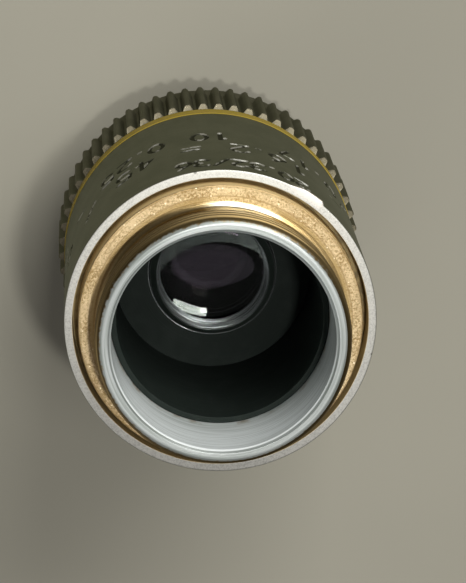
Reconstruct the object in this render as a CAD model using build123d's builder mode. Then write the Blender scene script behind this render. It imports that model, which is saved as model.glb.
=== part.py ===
# Low-power achromatic microscope objective with the common 20.32 mm mounting thread.
#
# +Z runs up the optical axis, towards the microscope tube. The origin is the centre of
# the mounting shoulder, the face that meets the nosepiece. The objective stands on its
# nose. All sizes are in millimetres.

import os
from math import sqrt

from build123d import *

os.makedirs("parts", exist_ok=True)

# Fits
screw_clearance = 0.03       # radial, between parts that screw together
slide_clearance = 0.04       # radial, between parts that slide together
glass_clearance = 0.02       # between glass and the metal that holds it

# Mounting thread and the bore behind the shoulder
thread_diameter = 20.32
thread_length = 5.0
lead_height = 0.46           # height of the chamfer above the thread
lead_depth = 0.53            # radial depth of that chamfer
tube_wall = 1.26             # thread crest to bore
mouth_depth = 0.35           # height of the chamfer inside the bore's mouth
mouth_width = 0.25           # radial width of that chamfer
flange_thickness = 2.8
flange_edge = 0.12
spigot_wall = 1.5            # wall of the tube that screws into the lens barrel
spigot_share = 0.47          # of the height between the flange and the stack stop

# Lens barrel, the tube that carries every cell and shell
barrel_wall = 1.03
rim_width = 0.42             # how far the top rim stands out, to stop the sleeve
rim_thickness = 1.2
spigot_relief = 0.2          # left free below the mounting tube
stack_stop_thickness = 0.6
stack_stop_width = 0.5
nose_thread_depth = 0.86     # radial step down to the thread for the nose
nose_thread_length = 1.8

# Black tube that lines the bore
liner_wall = 0.47
liner_recess = 1.76          # shoulder down to the liner's top edge

# Outer shells
shoulder_proud = 0.5         # how far the shoulder stands above the sleeve
sleeve_wall = 0.68           # wall at the sleeve's mouth
sleeve_edge = 0.12
band_width = 1.6
band_thickness = 0.5
tooth_count = 60
tooth_start_angle = 2.7      # degrees, first tooth from +X
tooth_height = 0.7
tooth_base_width = 1.04
tooth_tip_width = 0.40
tooth_tip_rounding = 0.12
root_depth = 0.12            # tooth roots below the sleeve's surface
knurl_length = 7.4
knurl_end_chamfer = 0.1

# Overall length
parfocal_distance = 45.0
working_distance = 6.8

# Nose
nose_length = 6.7            # knurled ring to the flat face
nose_collar_drop = 0.45      # radial step in from the tooth roots
nose_collar_height = 1.6
nose_face_width = 1.71       # flat ring around the front cell
nose_tip_height = 1.4
nose_tip_fillet = 0.4
nose_socket_relief = 0.2

# Rear lens, a cemented pair seen through the bore
rear_cell_rim = 3.44         # width of the cell's face around the lens ring
rear_crown_radius = 15.0
rear_cement_radius = 9.5
rear_crown_edge_height = 0.72
rear_flint_thickness = 1.0
rear_lens_cover = 0.45       # how far the ring reaches over the lens
rear_lens_recess = 0.9       # cell's face down to where the ring meets the lens
rear_seat_width = 0.6        # how far the seat reaches under it
rear_seat_thickness = 0.9

# Ring that holds the rear lens
rear_ring_wall = 0.47        # skirt around the lens
rear_ring_skirt = 1.7
rear_ring_height = 1.2       # crest above the cell's face
rear_ring_lip = 0.2          # edge of the ring above the cell's face
rear_ring_bevel = 0.3        # radial width of the bright bevel
rear_ring_crest = 0.1

# Stack between the two cells
stop_thickness = 0.4
stop_step = 0.2              # stop's hole inside the rear cell's
spacer_length = 6.49
spacer_wall = 1.4
shim_thickness = 0.2

# Front cell and lens
front_flange_thickness = 1.5
front_snout_wall = 1.7
front_recess = 0.3           # cell's face behind the nose face
front_crown_radius = 8.0
front_cement_radius = 6.5
front_crown_edge_height = 0.29
front_flint_thickness = 0.8
front_seat_width = 0.6
front_dish_width = 1.1       # radial width of the cone below the seat
front_seat_thickness = 0.7
front_ring_wall = 0.4
front_lens_cover = 0.5
front_ring_height = 2.0
front_ring_skirt = 0.4
front_thread_spare = 1.2     # thread left free above the ring
front_funnel_rim = 0.3       # wall left at the funnel's top

# Ring that screws in below the stack
lock_ring_depth = 1.3        # from the barrel's lower end
lock_ring_height = 1.7
lock_ring_width = 2.51
lock_ring_notch_width = 1.0
lock_ring_notch_depth = 0.6
lock_ring_hole_clearance = 0.3

# Grub screws that lock the mounting tube in the lens barrel
grub_count = 3
grub_diameter = 1.4
grub_slot_width = 0.25
grub_slot_depth = 0.3


def sagitta(radius, half_width):
    """Depth of a spherical cap of this radius at this distance from its axis."""
    return radius - sqrt(radius**2 - half_width**2)


# Radii that follow from the mounting thread, outwards
thread_radius = thread_diameter / 2
bore_radius = thread_radius - tube_wall
spigot_radius = bore_radius + spigot_wall
barrel_radius = spigot_radius + screw_clearance + barrel_wall
rim_radius = barrel_radius + rim_width
sleeve_mouth_radius = rim_radius + slide_clearance
sleeve_radius = sleeve_mouth_radius + sleeve_wall
sleeve_bore_radius = barrel_radius + slide_clearance
band_seat_radius = sleeve_radius - band_thickness
root_radius = sleeve_radius - root_depth
tip_radius = root_radius + tooth_height
nose_thread_radius = barrel_radius - nose_thread_depth
nose_collar_radius = root_radius - nose_collar_drop
stack_radius = bore_radius - slide_clearance
stack_stop_radius = bore_radius - stack_stop_width

# Radii of the rear lens and what holds it, inwards from the bore
rear_pocket_radius = stack_radius - rear_cell_rim
rear_ring_outer = rear_pocket_radius - screw_clearance
rear_ring_inner = rear_ring_outer - rear_ring_wall
rear_lens_radius = rear_ring_inner - glass_clearance
rear_clear_radius = rear_lens_radius - rear_lens_cover
rear_aperture_radius = rear_lens_radius - rear_seat_width
stop_radius = rear_aperture_radius - stop_step

# Radii of the front lens and what holds it, inwards from the bore
lock_ring_hole_radius = stack_radius - lock_ring_width
snout_radius = lock_ring_hole_radius - lock_ring_hole_clearance
front_thread_radius = snout_radius - front_snout_wall
front_ring_outer = front_thread_radius - screw_clearance
front_bore_radius = front_ring_outer - front_ring_wall
front_lens_radius = front_bore_radius - glass_clearance
front_clear_radius = front_lens_radius - front_lens_cover
front_aperture_radius = front_lens_radius - front_seat_width
snout_hole_radius = snout_radius + slide_clearance
nose_face_radius = snout_hole_radius + nose_face_width

# Heights of the shells, between the shoulder and the nose face
tube_top = thread_length + lead_height
flange_bottom = -flange_thickness
rim_bottom = flange_bottom - rim_thickness
sleeve_top = -shoulder_proud
nose_face = -(parfocal_distance - working_distance)
knurl_bottom = nose_face + nose_length
knurl_top = knurl_bottom + knurl_length
band_top = knurl_top + band_width
barrel_shoulder = knurl_bottom + slide_clearance
barrel_bottom = barrel_shoulder - nose_thread_length

# Heights of the stack, upwards from the barrel's lower end
lock_ring_bottom = barrel_bottom + lock_ring_depth
front_flange_bottom = lock_ring_bottom + lock_ring_height
shim_bottom = front_flange_bottom + front_flange_thickness
spacer_bottom = shim_bottom + shim_thickness
stop_bottom = spacer_bottom + spacer_length
rear_cell_bottom = stop_bottom + stop_thickness

# Heights of the rear lens, upwards from its seat
rear_seat = rear_cell_bottom + rear_seat_thickness
rear_flint_bottom = rear_seat + glass_clearance
rear_cement_vertex = rear_flint_bottom + rear_flint_thickness
rear_cement_edge = rear_cement_vertex + sagitta(rear_cement_radius, rear_lens_radius)
rear_crown_edge = rear_cement_edge + rear_crown_edge_height
rear_vertex = rear_crown_edge + sagitta(rear_crown_radius, rear_lens_radius)
rear_rim_height = rear_vertex - sagitta(rear_crown_radius, rear_clear_radius)

# The stack is pressed against a stop in the barrel, and the liner stands on that stop
rear_ring_foot = rear_rim_height + glass_clearance
stack_top = rear_ring_foot + rear_lens_recess
liner_bottom = stack_top + stack_stop_thickness
spigot_bottom = flange_bottom - spigot_share * (flange_bottom - liner_bottom)
grub_height = (rim_bottom + spigot_bottom) / 2

# Heights of the ring that holds the rear lens
rear_ring_bottom = stack_top - rear_ring_skirt
rear_ring_top = stack_top + rear_ring_height

# Heights of the front lens and its ring, upwards from the nose
front_cell_bottom = nose_face + front_recess
front_seat = front_cell_bottom + front_seat_thickness
front_flint_bottom = front_seat + glass_clearance
front_cement_vertex = front_flint_bottom + front_flint_thickness
front_cement_edge = front_cement_vertex + sagitta(front_cement_radius, front_lens_radius)
front_crown_edge = front_cement_edge + front_crown_edge_height
front_vertex = front_crown_edge + sagitta(front_crown_radius, front_lens_radius)
front_rim_height = front_vertex - sagitta(front_crown_radius, front_clear_radius)
front_ring_shoulder = front_crown_edge + glass_clearance
front_ring_bottom = front_ring_shoulder - front_ring_skirt
front_ring_top = front_ring_bottom + front_ring_height
front_funnel_bottom = front_ring_top + front_thread_spare

# Brass mounting tube: thread, shoulder and the tube that screws into the lens barrel
with BuildPart() as mount_barrel:
    with BuildSketch(Plane.XZ):
        with BuildLine():
            Polyline(
                (bore_radius, spigot_bottom),
                (bore_radius, tube_top - mouth_depth),
                (bore_radius + mouth_width, tube_top),
                (thread_radius - lead_depth, tube_top),
                (thread_radius, thread_length),
                (thread_radius, 0),
                (barrel_radius - flange_edge, 0),
                (barrel_radius, -flange_edge),
                (barrel_radius, flange_bottom),
                (spigot_radius, flange_bottom),
                (spigot_radius, spigot_bottom),
                close=True,
            )
        make_face()
    revolve(axis=Axis.Z)
mount_barrel.part.label = "mount_barrel"
export_step(mount_barrel.part, "parts/mount_barrel.step")

# Lens barrel: rim at the top, stop for the lens stack inside, nose thread below
with BuildPart() as lens_barrel:
    with BuildSketch(Plane.XZ):
        with BuildLine():
            Polyline(
                (spigot_radius + screw_clearance, flange_bottom),
                (rim_radius, flange_bottom),
                (rim_radius, rim_bottom),
                (barrel_radius, rim_bottom),
                (barrel_radius, barrel_shoulder),
                (nose_thread_radius, barrel_shoulder),
                (nose_thread_radius, barrel_bottom),
                (bore_radius, barrel_bottom),
                (bore_radius, stack_top),
                (stack_stop_radius, stack_top),
                (stack_stop_radius, liner_bottom),
                (bore_radius, liner_bottom),
                (bore_radius, spigot_bottom - spigot_relief),
                (spigot_radius + screw_clearance, spigot_bottom - spigot_relief),
                close=True,
            )
        make_face()
    revolve(axis=Axis.Z)
    with PolarLocations(0, grub_count):
        with Locations(Location((0, 0, grub_height), (0, 90, 0))):
            Cylinder(
                grub_diameter / 2 + screw_clearance,
                rim_radius,
                align=(Align.CENTER, Align.CENTER, Align.MIN),
                mode=Mode.SUBTRACT,
            )
lens_barrel.part.label = "lens_barrel"
export_step(lens_barrel.part, "parts/lens_barrel.step")

# Grub screws: short slotted rods, from the mounting tube to the barrel's surface
with BuildPart() as barrel_lock_screws:
    grub_start = spigot_radius + slide_clearance
    grub_end = barrel_radius - slide_clearance
    with PolarLocations(0, grub_count):
        with Locations(Location((grub_start, 0, grub_height), (0, 90, 0))):
            Cylinder(
                grub_diameter / 2,
                grub_end - grub_start,
                align=(Align.CENTER, Align.CENTER, Align.MIN),
            )
        with Locations((grub_end, 0, grub_height)):
            Box(
                2 * grub_slot_depth,
                2 * grub_diameter,
                grub_slot_width,
                mode=Mode.SUBTRACT,
            )
barrel_lock_screws.part.label = "barrel_lock_screws"
export_step(barrel_lock_screws.part, "parts/barrel_lock_screws.step")

# Outer sleeve: thin mouth around the shoulder, land that slides on the barrel, and a
# reduced end that carries the colour ring
with BuildPart() as outer_sleeve:
    with BuildSketch(Plane.XZ):
        with BuildLine():
            Polyline(
                (sleeve_mouth_radius, sleeve_top),
                (sleeve_radius - sleeve_edge, sleeve_top),
                (sleeve_radius, sleeve_top - sleeve_edge),
                (sleeve_radius, band_top),
                (band_seat_radius, band_top),
                (band_seat_radius, knurl_top),
                (sleeve_bore_radius, knurl_top),
                (sleeve_bore_radius, rim_bottom),
                (sleeve_mouth_radius, rim_bottom),
                close=True,
            )
        make_face()
    revolve(axis=Axis.Z)
outer_sleeve.part.label = "outer_sleeve"
export_step(outer_sleeve.part, "parts/outer_sleeve.step")

# Colour ring: the yellow band that tells the magnification
with BuildPart() as colour_ring:
    with BuildSketch(Plane.XY.offset(knurl_top)):
        Circle(sleeve_radius)
        Circle(band_seat_radius + slide_clearance, mode=Mode.SUBTRACT)
    extrude(amount=band_width)
colour_ring.part.label = "colour_ring"
export_step(colour_ring.part, "parts/colour_ring.step")

# One tooth of the knurl, pointing along +X, with its foot inside the ring
with BuildSketch() as tooth:
    with BuildLine():
        Polyline(
            (root_radius - root_depth, -tooth_base_width / 2),
            (root_radius, -tooth_base_width / 2),
            (tip_radius, -tooth_tip_width / 2),
            (tip_radius, tooth_tip_width / 2),
            (root_radius, tooth_base_width / 2),
            (root_radius - root_depth, tooth_base_width / 2),
            close=True,
        )
    make_face()
    fillet(tooth.vertices().group_by(Axis.X)[-1], tooth_tip_rounding)

# Knurled ring: straight coarse teeth with rounded tips and broken ends
with BuildPart() as knurled_ring:
    with BuildSketch(Plane.XY.offset(knurl_bottom)):
        Circle(root_radius)
        with PolarLocations(0, tooth_count, start_angle=tooth_start_angle):
            add(tooth.sketch)
        Circle(sleeve_bore_radius, mode=Mode.SUBTRACT)
    extrude(amount=knurl_length)
    with BuildSketch(Plane.XZ):
        with BuildLine():
            Polyline(
                (0, knurl_bottom),
                (tip_radius - knurl_end_chamfer, knurl_bottom),
                (tip_radius, knurl_bottom + knurl_end_chamfer),
                (tip_radius, knurl_top - knurl_end_chamfer),
                (tip_radius - knurl_end_chamfer, knurl_top),
                (0, knurl_top),
                close=True,
            )
        make_face()
    revolve(axis=Axis.Z, mode=Mode.INTERSECT)
knurled_ring.part.label = "knurled_ring"
export_step(knurled_ring.part, "parts/knurled_ring.step")

# Nose cone: collar under the knurled ring, cone, and the flat face around the lens
with BuildPart() as nose_cone:
    with BuildSketch(Plane.XZ) as nose_section:
        with BuildLine():
            Polyline(
                (nose_thread_radius + screw_clearance, knurl_bottom),
                (nose_collar_radius, knurl_bottom),
                (nose_collar_radius, knurl_bottom - nose_collar_height),
                (nose_face_radius, nose_face + nose_tip_height),
                (nose_face_radius, nose_face),
                (snout_hole_radius, nose_face),
                (snout_hole_radius, barrel_bottom - nose_socket_relief),
                (nose_thread_radius + screw_clearance, barrel_bottom - nose_socket_relief),
                close=True,
            )
        make_face()
        nose_tip = nose_section.vertices().group_by(Axis.Y)[0].sort_by(Axis.X)[-1]
        fillet(nose_tip, nose_tip_fillet)
    revolve(axis=Axis.Z)
nose_cone.part.label = "nose_cone"
export_step(nose_cone.part, "parts/nose_cone.step")

# Stray light tube: the black liner that stands on the stack stop
with BuildPart() as stray_light_tube:
    with BuildSketch(Plane.XY.offset(liner_bottom)):
        Circle(stack_radius)
        Circle(stack_radius - liner_wall, mode=Mode.SUBTRACT)
    extrude(amount=-liner_recess - liner_bottom)
stray_light_tube.part.label = "stray_light_tube"
export_step(stray_light_tube.part, "parts/stray_light_tube.step")

# Rear cell: disc that holds the rear lens, with a thread for the ring above it
with BuildPart() as rear_cell:
    with BuildSketch(Plane.XZ):
        with BuildLine():
            Polyline(
                (rear_pocket_radius, stack_top),
                (stack_radius, stack_top),
                (stack_radius, rear_cell_bottom),
                (rear_aperture_radius, rear_cell_bottom),
                (rear_aperture_radius, rear_seat),
                (rear_ring_inner, rear_seat),
                (rear_ring_inner, rear_ring_bottom - screw_clearance),
                (rear_pocket_radius, rear_ring_bottom - screw_clearance),
                close=True,
            )
        make_face()
    revolve(axis=Axis.Z)
rear_cell.part.label = "rear_cell"
export_step(rear_cell.part, "parts/rear_cell.step")

# Rear crown lens: convex on both sides
with BuildPart() as rear_crown_lens:
    with BuildSketch(Plane.XZ):
        with BuildLine():
            Line((0, rear_cement_vertex), (0, rear_vertex))
            RadiusArc((0, rear_vertex), (rear_lens_radius, rear_crown_edge), rear_crown_radius)
            Line((rear_lens_radius, rear_crown_edge), (rear_lens_radius, rear_cement_edge))
            RadiusArc(
                (rear_lens_radius, rear_cement_edge), (0, rear_cement_vertex), rear_cement_radius
            )
        make_face()
    revolve(axis=Axis.Z)
rear_crown_lens.part.label = "rear_crown_lens"
export_step(rear_crown_lens.part, "parts/rear_crown_lens.step")

# Rear flint lens: hollow side cemented to the crown, flat side down
with BuildPart() as rear_flint_lens:
    with BuildSketch(Plane.XZ):
        with BuildLine():
            Line((0, rear_flint_bottom), (0, rear_cement_vertex))
            RadiusArc(
                (0, rear_cement_vertex), (rear_lens_radius, rear_cement_edge), -rear_cement_radius
            )
            Line((rear_lens_radius, rear_cement_edge), (rear_lens_radius, rear_flint_bottom))
            Line((rear_lens_radius, rear_flint_bottom), (0, rear_flint_bottom))
        make_face()
    revolve(axis=Axis.Z)
rear_flint_lens.part.label = "rear_flint_lens"
export_step(rear_flint_lens.part, "parts/rear_flint_lens.step")

# Rear retaining ring: skirt around the lens, sloped top and a bright bevel to the glass
with BuildPart() as rear_retaining_ring:
    with BuildSketch(Plane.XZ):
        with BuildLine():
            Polyline(
                (rear_ring_inner, rear_ring_bottom),
                (rear_ring_outer, rear_ring_bottom),
                (rear_ring_outer, stack_top + rear_ring_lip),
                (rear_clear_radius + rear_ring_bevel + rear_ring_crest, rear_ring_top),
                (rear_clear_radius + rear_ring_bevel, rear_ring_top),
                (rear_clear_radius, rear_ring_foot),
                (rear_ring_inner, rear_crown_edge + glass_clearance),
                close=True,
            )
        make_face()
    revolve(axis=Axis.Z)
rear_retaining_ring.part.label = "rear_retaining_ring"
export_step(rear_retaining_ring.part, "parts/rear_retaining_ring.step")

# Stop disc: the fixed diaphragm under the rear cell
with BuildPart() as stop_disc:
    with BuildSketch(Plane.XY.offset(stop_bottom)):
        Circle(stack_radius)
        Circle(stop_radius, mode=Mode.SUBTRACT)
    extrude(amount=stop_thickness)
stop_disc.part.label = "stop_disc"
export_step(stop_disc.part, "parts/stop_disc.step")

# Spacer tube: keeps the two lens cells apart
with BuildPart() as spacer_tube:
    with BuildSketch(Plane.XY.offset(spacer_bottom)):
        Circle(stack_radius)
        Circle(stack_radius - spacer_wall, mode=Mode.SUBTRACT)
    extrude(amount=spacer_length)
spacer_tube.part.label = "spacer_tube"
export_step(spacer_tube.part, "parts/spacer_tube.step")

# Parfocal shim: thin ring that sets the working height
with BuildPart() as parfocal_shim:
    with BuildSketch(Plane.XY.offset(shim_bottom)):
        Circle(stack_radius)
        Circle(stack_radius - spacer_wall, mode=Mode.SUBTRACT)
    extrude(amount=shim_thickness)
parfocal_shim.part.label = "parfocal_shim"
export_step(parfocal_shim.part, "parts/parfocal_shim.step")

# Front cell: flange in the stack, funnel, and the snout that carries the front lens
with BuildPart() as front_cell:
    with BuildSketch(Plane.XZ):
        with BuildLine():
            Polyline(
                (snout_radius - front_funnel_rim, shim_bottom),
                (stack_radius, shim_bottom),
                (stack_radius, front_flange_bottom),
                (snout_radius, front_flange_bottom),
                (snout_radius, front_cell_bottom),
                (front_aperture_radius + front_dish_width, front_cell_bottom),
                (front_aperture_radius, front_seat - glass_clearance),
                (front_aperture_radius, front_seat),
                (front_bore_radius, front_seat),
                (front_bore_radius, front_ring_bottom - screw_clearance),
                (front_thread_radius, front_ring_bottom - screw_clearance),
                (front_thread_radius, front_funnel_bottom),
                close=True,
            )
        make_face()
    revolve(axis=Axis.Z)
front_cell.part.label = "front_cell"
export_step(front_cell.part, "parts/front_cell.step")

# Front crown lens: strongly convex on both sides
with BuildPart() as front_crown_lens:
    with BuildSketch(Plane.XZ):
        with BuildLine():
            Line((0, front_cement_vertex), (0, front_vertex))
            RadiusArc((0, front_vertex), (front_lens_radius, front_crown_edge), front_crown_radius)
            Line((front_lens_radius, front_crown_edge), (front_lens_radius, front_cement_edge))
            RadiusArc(
                (front_lens_radius, front_cement_edge),
                (0, front_cement_vertex),
                front_cement_radius,
            )
        make_face()
    revolve(axis=Axis.Z)
front_crown_lens.part.label = "front_crown_lens"
export_step(front_crown_lens.part, "parts/front_crown_lens.step")

# Front flint lens: hollow side cemented to the crown, flat side to the specimen
with BuildPart() as front_flint_lens:
    with BuildSketch(Plane.XZ):
        with BuildLine():
            Line((0, front_flint_bottom), (0, front_cement_vertex))
            RadiusArc(
                (0, front_cement_vertex),
                (front_lens_radius, front_cement_edge),
                -front_cement_radius,
            )
            Line((front_lens_radius, front_cement_edge), (front_lens_radius, front_flint_bottom))
            Line((front_lens_radius, front_flint_bottom), (0, front_flint_bottom))
        make_face()
    revolve(axis=Axis.Z)
front_flint_lens.part.label = "front_flint_lens"
export_step(front_flint_lens.part, "parts/front_flint_lens.step")

# Front retaining ring: screws down on the front lens from inside the cell
with BuildPart() as front_retaining_ring:
    with BuildSketch(Plane.XZ):
        with BuildLine():
            Polyline(
                (front_bore_radius, front_ring_bottom),
                (front_ring_outer, front_ring_bottom),
                (front_ring_outer, front_ring_top),
                (front_clear_radius, front_ring_top),
                (front_clear_radius, front_rim_height + glass_clearance),
                (front_bore_radius, front_ring_shoulder),
                close=True,
            )
        make_face()
    revolve(axis=Axis.Z)
front_retaining_ring.part.label = "front_retaining_ring"
export_step(front_retaining_ring.part, "parts/front_retaining_ring.step")

# Stack lock ring: screws into the barrel below the front cell's flange, with two
# notches for a pin spanner
with BuildPart() as stack_lock_ring:
    with BuildSketch(Plane.XY.offset(lock_ring_bottom)):
        Circle(stack_radius)
        Circle(lock_ring_hole_radius, mode=Mode.SUBTRACT)
    extrude(amount=lock_ring_height)
    with Locations((0, 0, lock_ring_bottom)):
        Box(
            2 * bore_radius,
            lock_ring_notch_width,
            2 * lock_ring_notch_depth,
            mode=Mode.SUBTRACT,
        )
stack_lock_ring.part.label = "stack_lock_ring"
export_step(stack_lock_ring.part, "parts/stack_lock_ring.step")
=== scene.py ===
"""Looks of a low-power microscope objective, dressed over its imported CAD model.

The frame is the CAD model's: +Z runs up the optical axis, the origin is the centre of the
mounting shoulder, and the marked side of the sleeve faces -Y. Sizes in the classes are in
millimetres and angles in degrees. Meshes are in metres, as the frame is, and materials
read places in millimetres.
"""

from __future__ import annotations

import logging
import math
from dataclasses import dataclass
from enum import Enum

import bmesh
import bpy
import numpy as np
from mathutils import Matrix, Vector

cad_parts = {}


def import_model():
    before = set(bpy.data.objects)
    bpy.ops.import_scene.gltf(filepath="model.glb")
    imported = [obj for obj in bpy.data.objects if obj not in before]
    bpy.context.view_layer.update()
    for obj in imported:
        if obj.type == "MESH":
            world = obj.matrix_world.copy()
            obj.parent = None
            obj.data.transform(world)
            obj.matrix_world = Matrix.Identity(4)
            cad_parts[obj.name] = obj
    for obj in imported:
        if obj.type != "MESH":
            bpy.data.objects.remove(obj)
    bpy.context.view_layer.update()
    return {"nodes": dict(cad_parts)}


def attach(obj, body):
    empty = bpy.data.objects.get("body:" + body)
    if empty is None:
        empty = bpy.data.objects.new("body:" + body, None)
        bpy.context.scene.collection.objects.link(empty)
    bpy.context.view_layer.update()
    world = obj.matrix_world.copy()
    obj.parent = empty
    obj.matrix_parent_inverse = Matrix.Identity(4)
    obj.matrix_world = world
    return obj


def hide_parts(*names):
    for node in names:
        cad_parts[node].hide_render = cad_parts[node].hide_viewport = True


LOG = logging.getLogger("objective")
MM = 0.001
TURN = 2.0 * math.pi

# Rounding of edges that are left crisp, and of edges that are just broken
CRISP = 0.03
BROKEN = 0.05

Colour = tuple[float, float, float]
Place = tuple[float, float, float]
Tree = bpy.types.NodeTree
Node = bpy.types.Node
Socket = bpy.types.NodeSocket
Piece = bpy.types.Object


# Surfaces


@dataclass(frozen=True)
class Corner:
    """One corner of a turned profile, and the radius that it is rounded to."""

    radius: float
    height: float
    rounding: float = 0.0


def soften(corners: list[Corner], steps: int = 7) -> tuple[np.ndarray, np.ndarray]:
    """Rounds the corners of a closed profile.

    A rounded corner becomes an arc that touches both sides at the same distance from the
    corner. One more point stands on each side a little beyond the arc, so that smooth
    shading stays flat along the sides. The arc is the turn from one unit vector to the
    other about its centre, at equal angles.

    Args:
        corners: The profile's corners in order.
        steps: How many points each arc has.

    Returns:
        The points as rows of radius and height, and the number of the corner of each.
    """
    place = np.array([(c.radius, c.height) for c in corners])
    rounding = np.array([c.rounding for c in corners])
    before = np.roll(place, 1, axis=0) - place
    after = np.roll(place, -1, axis=0) - place
    before_length = np.linalg.norm(before, axis=1, keepdims=True)
    after_length = np.linalg.norm(after, axis=1, keepdims=True)
    before, after = before / before_length, after / after_length
    opening = np.arccos(np.clip((before * after).sum(axis=1), -1, 1))[:, None]
    reach = rounding[:, None] / np.tan(opening / 2)
    inward = (before + after) / np.linalg.norm(before + after, axis=1, keepdims=True)
    centre = place + inward * rounding[:, None] / np.sin(opening / 2)
    safe = np.maximum(rounding[:, None], 1e-9)
    first = (place + before * reach - centre) / safe
    last = (place + after * reach - centre) / safe
    share = np.linspace(0, 1, steps)[None, :, None]
    sweep = (math.pi - opening)[:, None, :]
    arc = np.sin((1 - share) * sweep) * first[:, None] + np.sin(share * sweep) * last[:, None]
    arc = centre[:, None] + safe[:, None] * arc / np.sin(sweep)
    margin = 0.5 * rounding[:, None] + 0.02
    lead_in = place + before * np.minimum(reach + margin, before_length * 0.45)
    lead_out = place + after * np.minimum(reach + margin, after_length * 0.45)
    rounded = np.concatenate([lead_in[:, None], arc, lead_out[:, None]], axis=1)
    plain = np.concatenate([lead_in[:, None], place[:, None], lead_out[:, None]], axis=1)
    points, owners = [], []
    for number, radius in enumerate(rounding):
        part = rounded[number] if radius > 0 else plain[number]
        points.append(part)
        owners.append(np.full(len(part), number))
    return np.concatenate(points), np.concatenate(owners)


def add_surface(
    name: str,
    points: np.ndarray,
    closed_rows: bool = True,
    sharp_angle: float = 38.0,
    values: dict[str, np.ndarray] | None = None,
) -> Piece:
    """Makes a mesh object from a grid of points that closes round its columns.

    Each grid cell is one face. The signed volume of the faces tells whether they point
    outwards, and they are turned over if they don't. Points that fall together, as at a
    pole, are merged.

    Args:
        name: The object's name.
        points: Grid of rows, columns and coordinates, in millimetres.
        closed_rows: Whether the last row joins the first.
        sharp_angle: Edges that turn by more than this stay sharp.
        values: Point attributes by name, each a grid of numbers.

    Returns:
        The new object, linked into the scene.
    """
    rows, columns = points.shape[:2]
    index = np.arange(rows * columns).reshape(rows, columns)
    if closed_rows:
        index = np.vstack([index, index[:1]])
    index = np.hstack([index, index[:, :1]])
    quads = np.stack(
        [index[:-1, :-1], index[1:, :-1], index[1:, 1:], index[:-1, 1:]], axis=-1
    ).reshape(-1, 4)
    flat = points.reshape(-1, 3) * MM
    a, b, c, d = (flat[quads[:, k]] for k in range(4))
    volume = (np.cross(a, b) * c).sum() + (np.cross(a, c) * d).sum()
    if volume < 0:
        quads = quads[:, ::-1]
    mesh = bpy.data.meshes.new(name)
    mesh.vertices.add(len(flat))
    mesh.vertices.foreach_set("co", flat.astype(np.float32).ravel())
    mesh.loops.add(quads.size)
    mesh.loops.foreach_set("vertex_index", quads.astype(np.int32).ravel())
    mesh.polygons.add(len(quads))
    mesh.polygons.foreach_set("loop_start", np.arange(0, quads.size, 4, dtype=np.int32))
    for key, grid in (values or {}).items():
        layer = mesh.attributes.new(key, "FLOAT", "POINT")
        layer.data.foreach_set("value", grid.astype(np.float32).ravel())
    mesh.update(calc_edges=True)
    if not closed_rows:
        shell = bmesh.new()
        shell.from_mesh(mesh)
        bmesh.ops.remove_doubles(shell, verts=shell.verts, dist=1e-9)
        shell.to_mesh(mesh)
        shell.free()
    mesh.polygons.foreach_set("use_smooth", np.ones(len(mesh.polygons), bool))
    mesh.set_sharp_from_angle(angle=math.radians(sharp_angle))
    mesh.validate()
    made = bpy.data.objects.new(name, mesh)
    bpy.context.scene.collection.objects.link(made)
    return made


def wrap(radius: np.ndarray, height: np.ndarray, angle: np.ndarray) -> np.ndarray:
    """Points at these radii and heights round the axis: radius times cosine and sine.

    Args:
        radius: Grid of radii.
        height: Grid of heights.
        angle: Grid of angles in radians.

    Returns:
        Grid of points with three coordinates each.
    """
    radius, height, angle = np.broadcast_arrays(radius, height, angle)
    return np.stack([radius * np.cos(angle), radius * np.sin(angle), height], axis=-1)


def round_angles(count: int) -> np.ndarray:
    """Equal angles round a full turn, as one row."""
    return (np.arange(count) * TURN / count)[None, :]


def smooth(value: np.ndarray, low: float, high: float) -> np.ndarray:
    """Rises from 0 at low to 1 at high, along three t squared less two t cubed."""
    share = np.clip((value - low) / (high - low), 0, 1)
    return share * share * (3 - 2 * share)


def turned(name: str, corners: list[Corner], segments: int = 192) -> Piece:
    """A closed profile carried round the axis.

    Args:
        name: The object's name.
        corners: The profile's corners in order.
        segments: Points round the axis.

    Returns:
        The new object.
    """
    profile, _ = soften(corners)
    return add_surface(name, wrap(profile[:, :1], profile[:, 1:], round_angles(segments)))


# Shader graphs


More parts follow.
